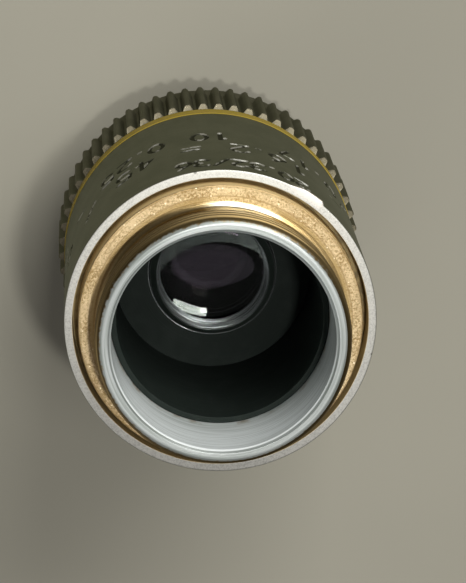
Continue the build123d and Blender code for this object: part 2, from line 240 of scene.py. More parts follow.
class Graph:
    """A node tree, with short calls that add nodes and join their sockets."""

    gives_number = ("LENGTH", "DISTANCE", "DOT_PRODUCT")

    def __init__(self, tree: Tree) -> None:
        """Keeps the tree that the calls add to."""
        self.tree = tree

    def node(self, kind: str, **settings: object) -> Node:
        """Adds one shader node.

        Args:
            kind: The node's type without its ShaderNode prefix.
            settings: Properties to set on it.

        Returns:
            The node.
        """
        made = self.tree.nodes.new("ShaderNode" + kind)
        for key, value in settings.items():
            setattr(made, key, value)
        return made

    def feed(self, socket: Socket, value: object) -> None:
        """Joins a socket to another one, or writes a constant into it.

        Args:
            socket: The input.
            value: An output, a number, a vector or a colour of three parts.
        """
        if isinstance(value, Socket):
            self.tree.links.new(value, socket)
        elif socket.type == "RGBA":
            socket.default_value = (*value, 1.0)
        else:
            socket.default_value = value

    def supply(self, node: Node, values: dict[str, object]) -> Node:
        """Feeds several inputs of a node.

        Args:
            node: The node.
            values: What goes into it, by the names of its inputs.

        Returns:
            The node.
        """
        for key, value in values.items():
            self.feed(node.inputs[key], value)
        return node

    def supply_first(self, node: Node, values: tuple[object, ...]) -> Node:
        """Feeds a node's first inputs.

        Args:
            node: The node.
            values: What goes into them, in order.

        Returns:
            The node.
        """
        for socket, value in zip(node.inputs, values):
            self.feed(socket, value)
        return node

    def math(self, operation: str, *values: object) -> Socket:
        """The result of one Math node on these values."""
        return self.supply_first(self.node("Math", operation=operation), values).outputs[0]

    def vector_math(self, operation: str, *values: object) -> Socket:
        """The result of one Vector Math node on these values."""
        made = self.supply_first(self.node("VectorMath", operation=operation), values)
        return made.outputs["Value" if operation in self.gives_number else "Vector"]

    def times(self, *values: object) -> Socket:
        """The product of several values.

        Args:
            values: Outputs or numbers.

        Returns:
            Their product.
        """
        product = values[0]
        for value in values[1:]:
            product = self.math("MULTIPLY", product, value)
        return product

    def scaled(self, vector: Socket, factor: object) -> Socket:
        """A vector times a number."""
        made = self.node("VectorMath", operation="SCALE")
        return self.supply(made, {"Vector": vector, "Scale": factor}).outputs[0]

    def rise(self, value: object, low: object, high: object) -> Socket:
        """Smooth step of a value, 0 at low and 1 at high; low may be above high."""
        made = self.node("MapRange", interpolation_type="SMOOTHSTEP")
        return self.supply(made, {"Value": value, "From Min": low, "From Max": high}).outputs[0]

    def within(self, value: object, low: float, high: float, soft: float) -> Socket:
        """1 where a value lies between low and high, fading over soft outside them."""
        return self.times(self.rise(value, low - soft, low), self.rise(value, high + soft, high))

    def mix(self, kind: str, inputs: tuple[int, ...], values: tuple[object, ...]) -> Node:
        """A Mix node.

        Args:
            kind: RGBA for colours or FLOAT for numbers.
            inputs: Numbers of the inputs for the share and the two values, in this kind.
            values: The share and the two values.

        Returns:
            The node.
        """
        made = self.node("Mix", data_type=kind, clamp_factor=True)
        for number, value in zip(inputs, values):
            self.feed(made.inputs[number], value)
        return made

    def between(self, share: object, first: object, second: object) -> Socket:
        """Mixes two numbers by a share between 0 and 1."""
        return self.mix("FLOAT", (0, 2, 3), (share, first, second)).outputs[0]

    def blend(self, share: object, first: object, second: object) -> Socket:
        """Mixes two colours by a share between 0 and 1."""
        return self.mix("RGBA", (0, 6, 7), (share, first, second)).outputs[2]

    def layered(self, base: object, *layers: tuple[object, object]) -> Socket:
        """A colour with others laid over it.

        Args:
            base: The lowest colour.
            layers: The share and the colour of each layer, from the lowest up.

        Returns:
            The colour that results.
        """
        for share, colour in layers:
            base = self.blend(share, base, colour)
        return base

    def noise(
        self, vector: Socket, scale: object, detail: float = 3.0, roughness: float = 0.55
    ) -> Socket:
        """Noise value of a vector at this scale.

        Args:
            vector: What the noise reads.
            scale: How fast it changes.
            detail: How many finer layers it has.
            roughness: How strong the finer layers are.

        Returns:
            The noise value.
        """
        made = self.supply(self.node("TexNoise"), {
            "Vector": vector, "Scale": scale, "Detail": detail, "Roughness": roughness})
        return made.outputs["Fac"]

    def bump(self, height: Socket, depth: float, strength: float) -> Socket:
        """Normal of a relief whose height runs from 0 to depth, in millimetres.

        Args:
            height: The relief, from 0 to 1.
            depth: How high it stands, in millimetres.
            strength: How much of it shows.

        Returns:
            The normal.
        """
        made = self.supply(self.node("Bump"), {
            "Strength": strength, "Distance": depth * MM, "Height": height})
        return made.outputs["Normal"]

    def group(self, tree: Tree, **values: object) -> Socket:
        """First output of a node group, fed with these inputs."""
        return self.supply(self.node("Group", node_tree=tree), values).outputs[0]


class Effects:
    """Node groups that several finishes use, each built once."""

    def __init__(self) -> None:
        """Builds every group."""
        self.lathe_lines = self._lathe_lines()
        self.specks = self._specks()
        self.patches = self._patches()

    @staticmethod
    def _start(name: str, numbers: list[str], output: str) -> tuple:
        """Makes an empty group that reads a place and some numbers, and gives one number.

        Args:
            name: The group's name.
            numbers: Names of its number inputs.
            output: Name of its output.

        Returns:
            The graph, what the group is given, and what it gives.
        """
        tree = bpy.data.node_groups.new(name, "ShaderNodeTree")
        tree.interface.new_socket(name="Place", in_out="INPUT", socket_type="NodeSocketVector")
        for key in numbers:
            tree.interface.new_socket(name=key, in_out="INPUT", socket_type="NodeSocketFloat")
        tree.interface.new_socket(name=output, in_out="OUTPUT", socket_type="NodeSocketFloat")
        given = tree.nodes.new("NodeGroupInput").outputs
        return Graph(tree), given, tree.nodes.new("NodeGroupOutput").inputs[output]

    def _lathe_lines(self) -> Tree:
        """Fine lines left by the turning tool: noise that changes fast along the radius
        and the height, and slowly round the axis.

        Returns:
            The group.
        """
        graph, given, result = self._start("lathe_lines", ["Pitch", "Streak"], "Line")
        flat = graph.vector_math("MULTIPLY", given["Place"], (1.0, 1.0, 0.0))
        radius = graph.vector_math("LENGTH", flat)
        height = graph.vector_math("DOT_PRODUCT", given["Place"], (0.0, 0.0, 1.0))
        around = graph.scaled(graph.vector_math("NORMALIZE", flat), given["Streak"])
        rate = graph.math("DIVIDE", 1.0, given["Pitch"])
        along = graph.node("CombineXYZ")
        graph.feed(along.inputs["Z"], graph.times(graph.math("ADD", radius, height), rate))
        place = graph.vector_math("ADD", around, along.outputs[0])
        graph.feed(result, graph.noise(place, 1.0, 2.0, 0.6))
        return graph.tree

    def _specks(self) -> Tree:
        """Scattered specks: discs round the cell points of a Voronoi pattern, each as
        large as a random share of the greatest size, and most of them left out.

        Returns:
            The group.
        """
        graph, given, result = self._start("specks", ["Spacing", "Size", "Share"], "Mask")
        cells = graph.supply(graph.node("TexVoronoi", feature="F1"), {
            "Vector": given["Place"], "Scale": graph.math("DIVIDE", 1.0, given["Spacing"])})
        chance = graph.node("SeparateColor")
        graph.feed(chance.inputs[0], cells.outputs["Color"])
        reach = graph.math("DIVIDE", given["Size"], given["Spacing"])
        reach = graph.times(reach, graph.math("ADD", 0.4, chance.outputs[1]))
        inside = graph.rise(cells.outputs["Distance"], reach, graph.times(reach, 0.6))
        kept = graph.math("LESS_THAN", chance.outputs[0], given["Share"])
        graph.feed(result, graph.times(inside, kept))
        return graph.tree

    def _patches(self) -> Tree:
        """Soft patches, as of grime and rubbed plating: noise of five sizes, cut at a level
        that leaves about the wanted share.

        Returns:
            The group.
        """
        graph, given, result = self._start("patches", ["Size", "Level", "Softness"], "Mask")
        rate = graph.math("DIVIDE", 1.0, given["Size"])
        value = graph.noise(given["Place"], rate, 5.0, 0.6)
        high = graph.math("ADD", given["Level"], given["Softness"])
        graph.feed(result, graph.rise(value, given["Level"], high))
        return graph.tree


class Coat(Graph):
    """The graph of one material: its shader, the place in millimetres, and the effects."""

    def __init__(self, name: str, effects: Effects) -> None:
        """Starts the material.

        Args:
            name: The material's name.
            effects: The shared node groups.
        """
        self.material = bpy.data.materials.new(name)
        self.material.use_nodes = True
        self.material.node_tree.nodes.clear()
        super().__init__(self.material.node_tree)
        self.effects = effects
        self.shader = self.node("BsdfPrincipled")
        self.feed(self.node("OutputMaterial").inputs["Surface"], self.shader.outputs["BSDF"])
        self.place = self.scaled(self.node("TexCoord").outputs["Object"], 1.0 / MM)

    def cylindrical(self) -> tuple[Socket, Socket]:
        """Where a point lies round the axis.

        Returns:
            Its distance from the axis, and its height.
        """
        split = self.node("SeparateXYZ")
        self.feed(split.inputs[0], self.place)
        square = self.math("ADD", self.math("POWER", split.outputs[0], 2.0),
                           self.math("POWER", split.outputs[1], 2.0))
        return self.math("SQRT", square), split.outputs[2]

    def lathe_lines(self, pitch: float, streak: float) -> Socket:
        """Turned lines, this far apart and this broken up round the axis."""
        return self.group(self.effects.lathe_lines, Place=self.place, Pitch=pitch, Streak=streak)

    def specks(self, spacing: float, size: float, share: float, spread: float = 1.0) -> Socket:
        """Specks of this size in a share of the cells; another spread moves them."""
        place = self.place if spread == 1.0 else self.scaled(self.place, spread)
        return self.group(self.effects.specks, Place=place, Spacing=spacing, Size=size, Share=share)

    def patches(self, size: float, level: float, softness: float) -> Socket:
        """Patches of this size, where the noise is above the level."""
        return self.group(self.effects.patches, Place=self.place, Size=size, Level=level,
                          Softness=softness)

    def attribute(self, name: str) -> Socket:
        """A number that the mesh holds at its points."""
        return self.node("Attribute", attribute_name=name).outputs["Fac"]

    def paint(self, values: dict[str, object]) -> None:
        """Feeds the shader's inputs, by their names."""
        self.supply(self.shader, values)


# Finishes


@dataclass(frozen=True)
class Finish:
    """What every finish has: its name and the material slot that it stands for."""

    name: str
    slot: str

    def build(self, effects: Effects) -> bpy.types.Material:
        """Builds the material.

        Args:
            effects: The shared node groups.

        Returns:
            The material.
        """
        coat = Coat(self.name, effects)
        self.dress(coat)
        return coat.material

    def dress(self, coat: Coat) -> None:
        """Sets the coat's shader up for this finish."""
        raise NotImplementedError


@dataclass(frozen=True)
class MountPlaces:
    """Where a point of the mount lies: masks that are 1 on the place they name."""

    radius: Socket
    height: Socket
    shoulder: Socket
    thread: Socket
    valley: Socket
    fillet: Socket
    side: Socket
    plated: Socket
    bore: Socket


@dataclass(frozen=True)
class MountGrain:
    """Patterns that the mount's colour, gloss and relief share."""

    lines: Socket
    rings: Socket
    patch: Socket
    grain: Socket


@dataclass(frozen=True)
class MountBrass(Finish):
    """Brass of the mount: bare on the shoulder and the thread's foot, plated at the tube's
    end and in the bore, and painted pale and matt as painted light on the flange's side in the gap."""

    bright: Colour = (0.76, 0.61, 0.37)
    dull: Colour = (0.34, 0.23, 0.095)
    smudge: Colour = (0.33, 0.22, 0.095)
    # Painted light: pale matt colour on the flange's side, which lies in the shaded gap
    painted_gap_light: Colour = (0.98, 0.76, 0.38)
    # Painted highlight in pale brass on the fillet, and painted shade in brown on the rest of it
    polished: Colour = (0.86, 0.79, 0.60)
    brown_and_shade: Colour = (0.42, 0.30, 0.13)
    sparkling: Colour = (1.0, 0.90, 0.66)
    threads: Colour = (0.20, 0.145, 0.066)
    # Darker colour for the thread's valleys
    valley_dark: Colour = (0.085, 0.060, 0.026)
    plating: Colour = (0.52, 0.56, 0.55)
    plating_dull: Colour = (0.36, 0.40, 0.38)
    # Painted light on the bore's wall near the mouth
    bore_painted_light: Colour = (0.90, 0.96, 0.97)
    stain: Colour = (0.25, 0.19, 0.12)
    # Centre of the painted highlight on the fillet
    highlight_place: Place = (-1.6, -9.9, 0.6)
    crest_radius: float = 10.12
    valley_radius: float = 9.85
    thread_foot: float = 2.4
    lead_bottom: float = 5.25
    plated_from: float = 5.22
    bore_wall: float = 9.0
    bore_edge: float = 9.3
    shoulder_edge: float = 10.25
    flange_edge: float = 11.40
    liner_top: float = -1.76

    def places(self, coat: Coat) -> MountPlaces:
        """Masks of the mount's places, from the distance to the axis and the height.

        Args:
            coat: The material's graph.

        Returns:
            The masks.
        """
        radius, height = coat.cylindrical()
        shoulder = coat.times(coat.within(height, -0.04, 0.04, 0.03),
                              coat.rise(radius, self.shoulder_edge - 0.1, self.shoulder_edge))
        outside = coat.rise(radius, self.bore_edge, self.bore_edge + 0.1)
        thread = coat.times(coat.rise(height, self.thread_foot, self.thread_foot + 0.2), outside,
                            coat.rise(height, self.lead_bottom + 0.1, self.lead_bottom))
        valley = coat.times(coat.rise(radius, self.crest_radius, self.valley_radius), thread)
        fillet = coat.times(coat.rise(radius, self.shoulder_edge + 0.35,
                                      self.shoulder_edge + 0.15), outside)
        side = coat.times(coat.rise(radius, self.flange_edge, self.flange_edge + 0.04),
                          coat.rise(height, -0.03, -0.08))
        waver = coat.math("MULTIPLY_ADD", coat.noise(coat.place, 3.5), 0.5, -0.25)
        wavering = coat.math("ADD", height, waver)
        plated = coat.math("MAXIMUM",
                           coat.rise(wavering, self.plated_from, self.plated_from + 0.15),
                           coat.rise(radius, self.bore_edge, self.bore_edge - 0.05))
        bore = coat.rise(radius, self.bore_wall + 0.02, self.bore_wall - 0.02)
        return MountPlaces(radius, height, shoulder, thread, valley, fillet, side, plated,
                           coat.times(bore, plated))

    def brass(self, coat: Coat, at: MountPlaces, by: MountGrain) -> Socket:
        """Colour of the bare brass: grainy, smudged in rings, darker at the shoulder's edges,
        painted pale brass as a highlight on the fillet at the thread's foot round one place,
        painted brown as shade on the rest of the fillet, and dark in the thread.

        Args:
            coat: The material's graph.
            at: Masks of the places.
            by: The patterns.

        Returns:
            The colour.
        """
        cloud = coat.noise(coat.place, 0.30, 3.0, 0.6)
        light = coat.math("ADD", by.grain, coat.math("MULTIPLY_ADD", cloud, 0.5, -0.25))
        # Darker along the shoulder's outer edge by the gap and in a narrow ring where the fillet
        # starts
        rim = coat.math("MAXIMUM",
                        coat.rise(at.radius, self.flange_edge - 0.22, self.flange_edge),
                        coat.within(at.radius, self.shoulder_edge + 0.30,
                                    self.shoulder_edge + 0.36, 0.06))
        # Painted highlight: a soft spot round one place on the fillet
        wear_and_highlight = coat.rise(coat.vector_math("DISTANCE", coat.place, self.highlight_place), 3.6, 1.7)
        low = coat.rise(at.radius, self.shoulder_edge - 0.03, self.shoulder_edge - 0.20)
        return coat.layered(
            self.dull,
            (coat.rise(light, 0.34, 0.60), self.bright),
            (coat.times(by.patch, 0.30), self.smudge),
            (coat.times(coat.rise(by.rings, 0.56, 0.66), 0.55), self.smudge),
            (coat.times(rim, by.grain, 1.2), self.smudge),
            (coat.times(coat.specks(0.30, 0.07, 0.16), at.shoulder), self.sparkling),
            # Painted shade in brown on the fillet away from the spot, and the painted highlight in
            # pale brass at it
            (coat.times(at.fillet, coat.between(wear_and_highlight, 0.85, 0.15)), self.brown_and_shade),
            (coat.times(wear_and_highlight, at.fillet, low, 0.85), self.polished),
            (coat.times(at.thread, 0.85), self.threads),
            # Darker in the thread's valleys
            (coat.times(at.valley, 0.8), self.valley_dark),
            # Painted light on the flange's side in the gap
            (coat.times(at.side, 0.85), self.painted_gap_light),
        )

    def silver(self, coat: Coat, at: MountPlaces, by: MountGrain) -> Socket:
        """Colour of the plating: dull in rings, darker in the thread's valleys, painted light near
        the mouth on the bore's unmarked side, which faces the lamps, and stained above the liner.

        Args:
            coat: The material's graph.
            at: Masks of the places.
            by: The patterns.

        Returns:
            The colour.
        """
        # Painted light: the bore's wall is lighter near the mouth and towards +Y, the side the
        # lamps fall on
        near_mouth = coat.between(coat.rise(at.height, self.liner_top, 3.0), 0.35, 1.0)
        ring_light = coat.between(coat.rise(by.rings, 0.35, 0.6), 0.55, 1.0)
        back = coat.vector_math("DOT_PRODUCT", coat.place, (0.0, 1.0, 0.0))
        lit = coat.times(near_mouth, ring_light, at.bore, coat.rise(back, -1.0, 6.0))
        low = coat.rise(at.height, self.liner_top + 1.2, self.liner_top)
        return coat.layered(
            self.plating,
            (coat.rise(by.rings, 0.62, 0.34), self.plating_dull),
            (coat.times(at.valley, 0.9), self.valley_dark),
            (lit, self.bore_painted_light),
            (coat.times(low, by.patch, 0.8), self.stain),
        )

    def roughness(self, coat: Coat, at: MountPlaces, by: MountGrain) -> Socket:
        """Roughness of each place.

        Args:
            coat: The material's graph.
            at: Masks of the places.
            by: The patterns.

        Returns:
            The roughness.
        """
        rough = coat.between(at.shoulder, 0.28, coat.between(by.grain, 0.32, 0.52))
        rough = coat.between(at.side, rough, 0.5)
        rough = coat.between(at.thread, rough, 0.45)
        return coat.between(at.plated, rough, coat.between(by.lines, 0.30, 0.48))

    def dress(self, coat: Coat) -> None:
        """Mixes bare brass, painted light on the flange's side, darker thread valleys, and plating
        with a wavering, rubbed edge.

        Args:
            coat: The material's graph.
        """
        at = self.places(coat)
        by = MountGrain(coat.lathe_lines(0.05, 0.6), coat.lathe_lines(0.16, 1.1),
                        coat.patches(1.6, 0.46, 0.2), coat.noise(coat.place, 5.2, 3.0, 0.75))
        fleck = coat.noise(coat.place, 15.0, 1.0, 0.5)
        flecks = coat.math("MULTIPLY_ADD", fleck, 1.2, coat.times(by.grain, 1.6))
        relief = coat.between(at.shoulder, by.lines, flecks)
        relief = coat.between(at.bore, relief, coat.times(by.rings, 2.0))
        coat.paint({
            "Base Color": coat.blend(at.plated, self.brass(coat, at, by),
                                     self.silver(coat, at, by)),
            "Metallic": coat.between(at.plated, coat.between(at.side, 1.0, 0.0),
                                     coat.between(at.bore, 0.6, 0.12)),
            "Roughness": self.roughness(coat, at, by),
            "Normal": coat.bump(relief, 0.016, 0.9),
        })


@dataclass(frozen=True)
class SatinPlate(Finish):
    """Dark satin plating of the shells, bare metal where an end face is turned, and brown
    inside the mouth's radius."""

    plate: Colour = (0.134, 0.142, 0.101)
    plate_light: Colour = (0.165, 0.171, 0.124)
    edge_tint: Colour = (0.55, 0.56, 0.48)
    bare: Colour = (0.58, 0.58, 0.54)
    knocked: Colour = (0.86, 0.80, 0.74)
    filling: Colour = (0.030, 0.030, 0.020)
    brown_and_shade: Colour = (0.44, 0.36, 0.20)
    mouth: float = 0.0
    bare_from: float = 1.0
    bare_to: float = 2.0
    gloss: float = 0.32
    engraved: bool = False

    def engraving(self, coat: Coat, colour: Socket, rough: Socket) -> tuple[Socket, Socket]:
        """Adds dark filling in the figures, bare metal where the filling is rubbed off, shown only
        on their lower walls, which face up towards the lamps, as painted glints, and bare metal on
        the knocked edge.

        Args:
            coat: The material's graph.
            colour: The plating's colour.
            rough: The plating's roughness.

        Returns:
            The new colour and roughness.
        """
        cut = coat.rise(coat.attribute("groove"), 0.2, 0.6)
        wear_and_highlight = coat.rise(coat.noise(coat.place, 1.1, 2.0, 0.5), 0.44, 0.56)
        # Painted glint: bare colour on the groove walls that face up, broken where the filling is
        # rubbed off
        glint = coat.times(coat.rise(coat.attribute("ledge"), 0.25, 0.6),
                           coat.between(wear_and_highlight, 0.05, 0.9))
        colour = coat.layered(
            colour,
            (coat.times(cut, 0.9), self.filling),
            (glint, self.bare),
            (coat.times(coat.attribute("knock"), 0.9), self.knocked),
        )
        return colour, coat.between(cut, rough, 0.6)

    def dress(self, coat: Coat) -> None:
        """Mixes plating, bare end faces, specks and, on the sleeve, the figures.

        Args:
            coat: The material's graph.
        """
        radius, height = coat.cylindrical()
        inside = coat.rise(radius, self.mouth, self.mouth - 0.03)
        bright = coat.within(height, self.bare_from, self.bare_to, 0.03)
        lines = coat.lathe_lines(0.06, 0.5)
        cloud = coat.noise(coat.place, 0.35, 4.0, 0.6)
        fine = coat.noise(coat.place, 7.0, 3.0, 0.7)
        dark = coat.specks(1.1, 0.12, 0.12, spread=1.07)
        shade = tuple(0.72 * part for part in self.bare)
        mottle = coat.layered(shade, (coat.rise(fine, 0.30, 0.60), self.bare),
                              (coat.times(dark, 0.6), self.filling))
        colour = coat.layered(
            self.plate,
            (coat.rise(cloud, 0.35, 0.65), self.plate_light),
            (coat.times(dark, 0.75), self.filling),
            (coat.times(coat.specks(1.3, 0.10, 0.06), 0.6), self.bare),
            (bright, mottle),
            (inside, self.brown_and_shade),
        )
        rough = coat.between(bright, coat.between(fine, self.gloss, self.gloss + 0.12),
                             coat.between(fine, 0.32, 0.55))
        if self.engraved:
            colour, rough = self.engraving(coat, colour, rough)
        relief = coat.between(bright, lines, coat.times(fine, 2.0))
        coat.paint({
            "Base Color": colour,
            "Metallic": coat.between(inside, coat.between(bright, 0.9, 0.6), 0.1),
            "Specular Tint": self.edge_tint,
            "Roughness": rough,
            "Normal": coat.bump(relief, 0.005, 0.7),
        })


@dataclass(frozen=True)
class BlackFinish(Finish):
    """Black anodised or blackened metal, matt, with a grey dusty bloom."""

    black: Colour = (0.0105, 0.0155, 0.0130)
    bloom: Colour = (0.0165, 0.0225, 0.0195)
    fleck: Colour = (0.40, 0.40, 0.37)
    roughness: float = 0.42
    reflectance: float = 0.06

    def layers(self, coat: Coat, lines: Socket) -> tuple[Socket, Socket]:
        """Black with a dusty bloom and light specks.

        Args:
            coat: The material's graph.
            lines: Turned lines, which vary the gloss.

        Returns:
            Colour and roughness.
        """
        dust = coat.patches(1.6, 0.42, 0.3)
        colour = coat.layered(self.black, (coat.times(dust, 0.6), self.bloom),
                              (coat.times(coat.specks(1.6, 0.07, 0.07), 0.6), self.fleck))
        return colour, coat.between(lines, self.roughness - 0.1, self.roughness + 0.1)

    def dress(self, coat: Coat) -> None:
        """Mixes black and a dusty bloom, with fine turned lines.

        Args:
            coat: The material's graph.
        """
        lines = coat.lathe_lines(0.09, 0.7)
        colour, rough = self.layers(coat, lines)
        coat.paint({
            "Base Color": colour,
            "Metallic": 0.0,
            "Specular IOR Level": self.reflectance,
            "Roughness": rough,
            "Normal": coat.bump(lines, 0.006, 0.5),
        })


@dataclass(frozen=True)
class RingBlack(BlackFinish):
    """Blackened metal with a bevel and an edge turned bright."""

    bare: Colour = (0.26, 0.29, 0.29)
    bevel_radius: float = 4.80
    edge_from: float = 5.33
    edge_to: float = 5.40
    softness: float = 0.02

    def dress(self, coat: Coat) -> None:
        """Adds bright metal inside the bevel's radius and along the edge.

        Args:
            coat: The material's graph.
        """
        radius, _ = coat.cylindrical()
        rings = coat.lathe_lines(0.12, 0.8)
        bevel = coat.rise(radius, self.bevel_radius + self.softness,
                          self.bevel_radius - self.softness)
        edge = coat.within(radius, self.edge_from, self.edge_to, self.softness)
        bare = coat.math("MAXIMUM", bevel, edge)
        black, rough = self.layers(coat, coat.lathe_lines(0.09, 0.7))
        shade = tuple(0.25 * part for part in self.bare)
        metal = coat.blend(coat.rise(rings, 0.40, 0.60), shade, self.bare)
        relief = coat.times(rings, coat.between(bare, 0.3, 0.7))
        coat.paint({
            "Base Color": coat.blend(bare, black, metal),
            "Metallic": coat.times(bare, 0.75),
            "Specular IOR Level": self.reflectance,
            "Roughness": coat.between(bare, rough, 0.24),
            "Normal": coat.bump(relief, 0.030, 0.9),
        })


@dataclass(frozen=True)
class AgedBrass(Finish):
    """Brown aged brass of the barrel, whose rim is seen in the gap."""

    brown: Colour = (0.42, 0.32, 0.14)
    dark: Colour = (0.24, 0.18, 0.08)

    def dress(self, coat: Coat) -> None:
        """Mixes brown and dark in soft patches, with turned lines.

        Args:
            coat: The material's graph.
        """
        lines = coat.lathe_lines(0.10, 0.6)
        coat.paint({
            "Base Color": coat.blend(coat.patches(1.2, 0.42, 0.2), self.brown, self.dark),
            "Metallic": 0.3,
            "Roughness": coat.between(lines, 0.4, 0.6),
            "Normal": coat.bump(lines, 0.006, 0.5),
        })


@dataclass(frozen=True)
class BandLacquer(Finish):
    """Yellow lacquer of the colour ring, dulled and chipped."""

    yellow: Colour = (0.33, 0.245, 0.028)
    dull: Colour = (0.33, 0.24, 0.040)
    metal: Colour = (0.30, 0.28, 0.20)

    def dress(self, coat: Coat) -> None:
        """Mixes bright and dull lacquer with chips.

        Args:
            coat: The material's graph.
        """
        cloud = coat.noise(coat.place, 0.8, 4.0, 0.6)
        chips = coat.specks(0.9, 0.12, 0.12)
        coat.paint({
            "Base Color": coat.layered(self.yellow, (coat.rise(cloud, 0.35, 0.65), self.dull),
                                       (coat.times(chips, 0.8), self.metal)),
            "Metallic": 0.0,
            "Specular IOR Level": 0.12,
            "Roughness": coat.between(cloud, 0.50, 0.65),
            "Normal": coat.bump(coat.noise(coat.place, 3.0, 3.0, 0.6), 0.01, 0.5),
        })


@dataclass(frozen=True)
class TurnedMetal(Finish):
    """Plain turned steel of the small rings and screws."""

    metal: Colour = (0.55, 0.55, 0.54)

    def dress(self, coat: Coat) -> None:
        """Turned lines in colour, gloss and relief.

        Args:
            coat: The material's graph.
        """
        lines = coat.lathe_lines(0.08, 0.5)
        shade = tuple(0.6 * part for part in self.metal)
        coat.paint({
            "Base Color": coat.blend(lines, shade, self.metal),
            "Metallic": 1.0,
            "Roughness": coat.between(lines, 0.25, 0.4),
            "Normal": coat.bump(lines, 0.005, 0.6),
        })


@dataclass(frozen=True)
class LensGlass(Finish):
    """Lens glass, clear or with a purple coating that quiets its reflection."""

    tint: Colour = (0.97, 0.98, 0.97)
    reflex: Colour = (1.0, 1.0, 1.0)
    dusty: Colour = (0.7, 0.7, 0.7)
    ior: float = 1.52

    def dress(self, coat: Coat) -> None:
        """Clear glass, a tinted reflex and a little dust in its roughness.

        Args:
            coat: The material's graph.
        """
        dust = coat.specks(0.8, 0.04, 0.10)
        haze = coat.rise(coat.noise(coat.place, 0.7, 3.0, 0.5), 0.4, 0.8)
        coat.paint({
            "Base Color": coat.blend(dust, self.tint, self.dusty),
            "Metallic": 0.0,
            "Transmission Weight": 1.0,
            "IOR": self.ior,
            "Specular Tint": self.reflex,
            "Roughness": coat.math("MAXIMUM", coat.between(haze, 0.0, 0.004),
                                   coat.times(dust, 0.2)),
        })


@dataclass(frozen=True)
class FloorPaper(Finish):
    """Pale matt floor."""

    pale: Colour = (0.345, 0.332, 0.276)
    shade: Colour = (0.300, 0.290, 0.240)

    def dress(self, coat: Coat) -> None:
        """A faint mottle."""
        cloud = coat.noise(coat.place, 0.03, 3.0, 0.5)
        coat.paint({"Base Color": coat.blend(cloud, self.pale, self.shade), "Roughness": 0.8})


class Workshop:
    """Keeps the effects and finishes, and puts finished pieces on the frame."""

    def __init__(self, nodes: dict[str, Piece]) -> None:
        """Keeps the CAD nodes and builds the shared effects.

        Args:
            nodes: The CAD nodes by name.
        """
        self.nodes = nodes
        self.effects = Effects()
        self.made: dict[str, bpy.types.Material] = {}

    def material(self, finish: Finish) -> bpy.types.Material:
        """The material of a finish, built when it is first asked for.

        Args:
            finish: What the material stands for.

        Returns:
            The material.
        """
        if finish.name not in self.made:
            self.made[finish.name] = finish.build(self.effects)
        return self.made[finish.name]

    def deliver(self, piece: Piece, finish: Finish, *nodes: str) -> None:
        """Dresses a piece, and lets it stand for CAD nodes.

        Args:
            piece: The new object.
            finish: What it is made of.
            nodes: The CAD nodes that it replaces.
        """
        piece.data.materials.clear()
        piece.data.materials.append(self.material(finish))
        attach(piece, "root")
        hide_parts(*nodes)
        faces = len(piece.data.polygons)
        LOG.info("%s: %d faces in place of %s", piece.name, faces, ", ".join(nodes))

    def dress_node(self, node: str, finish: Finish) -> None:
        """Puts a finish on a CAD node that stays as it is.

        Args:
            node: The node's name.
            finish: What it is made of.
        """
        shape = self.nodes[node]
        shape.data.materials.clear()
        shape.data.materials.append(self.material(finish))
        LOG.info("%s: CAD mesh, finish %s", node, finish.name)


# The objective


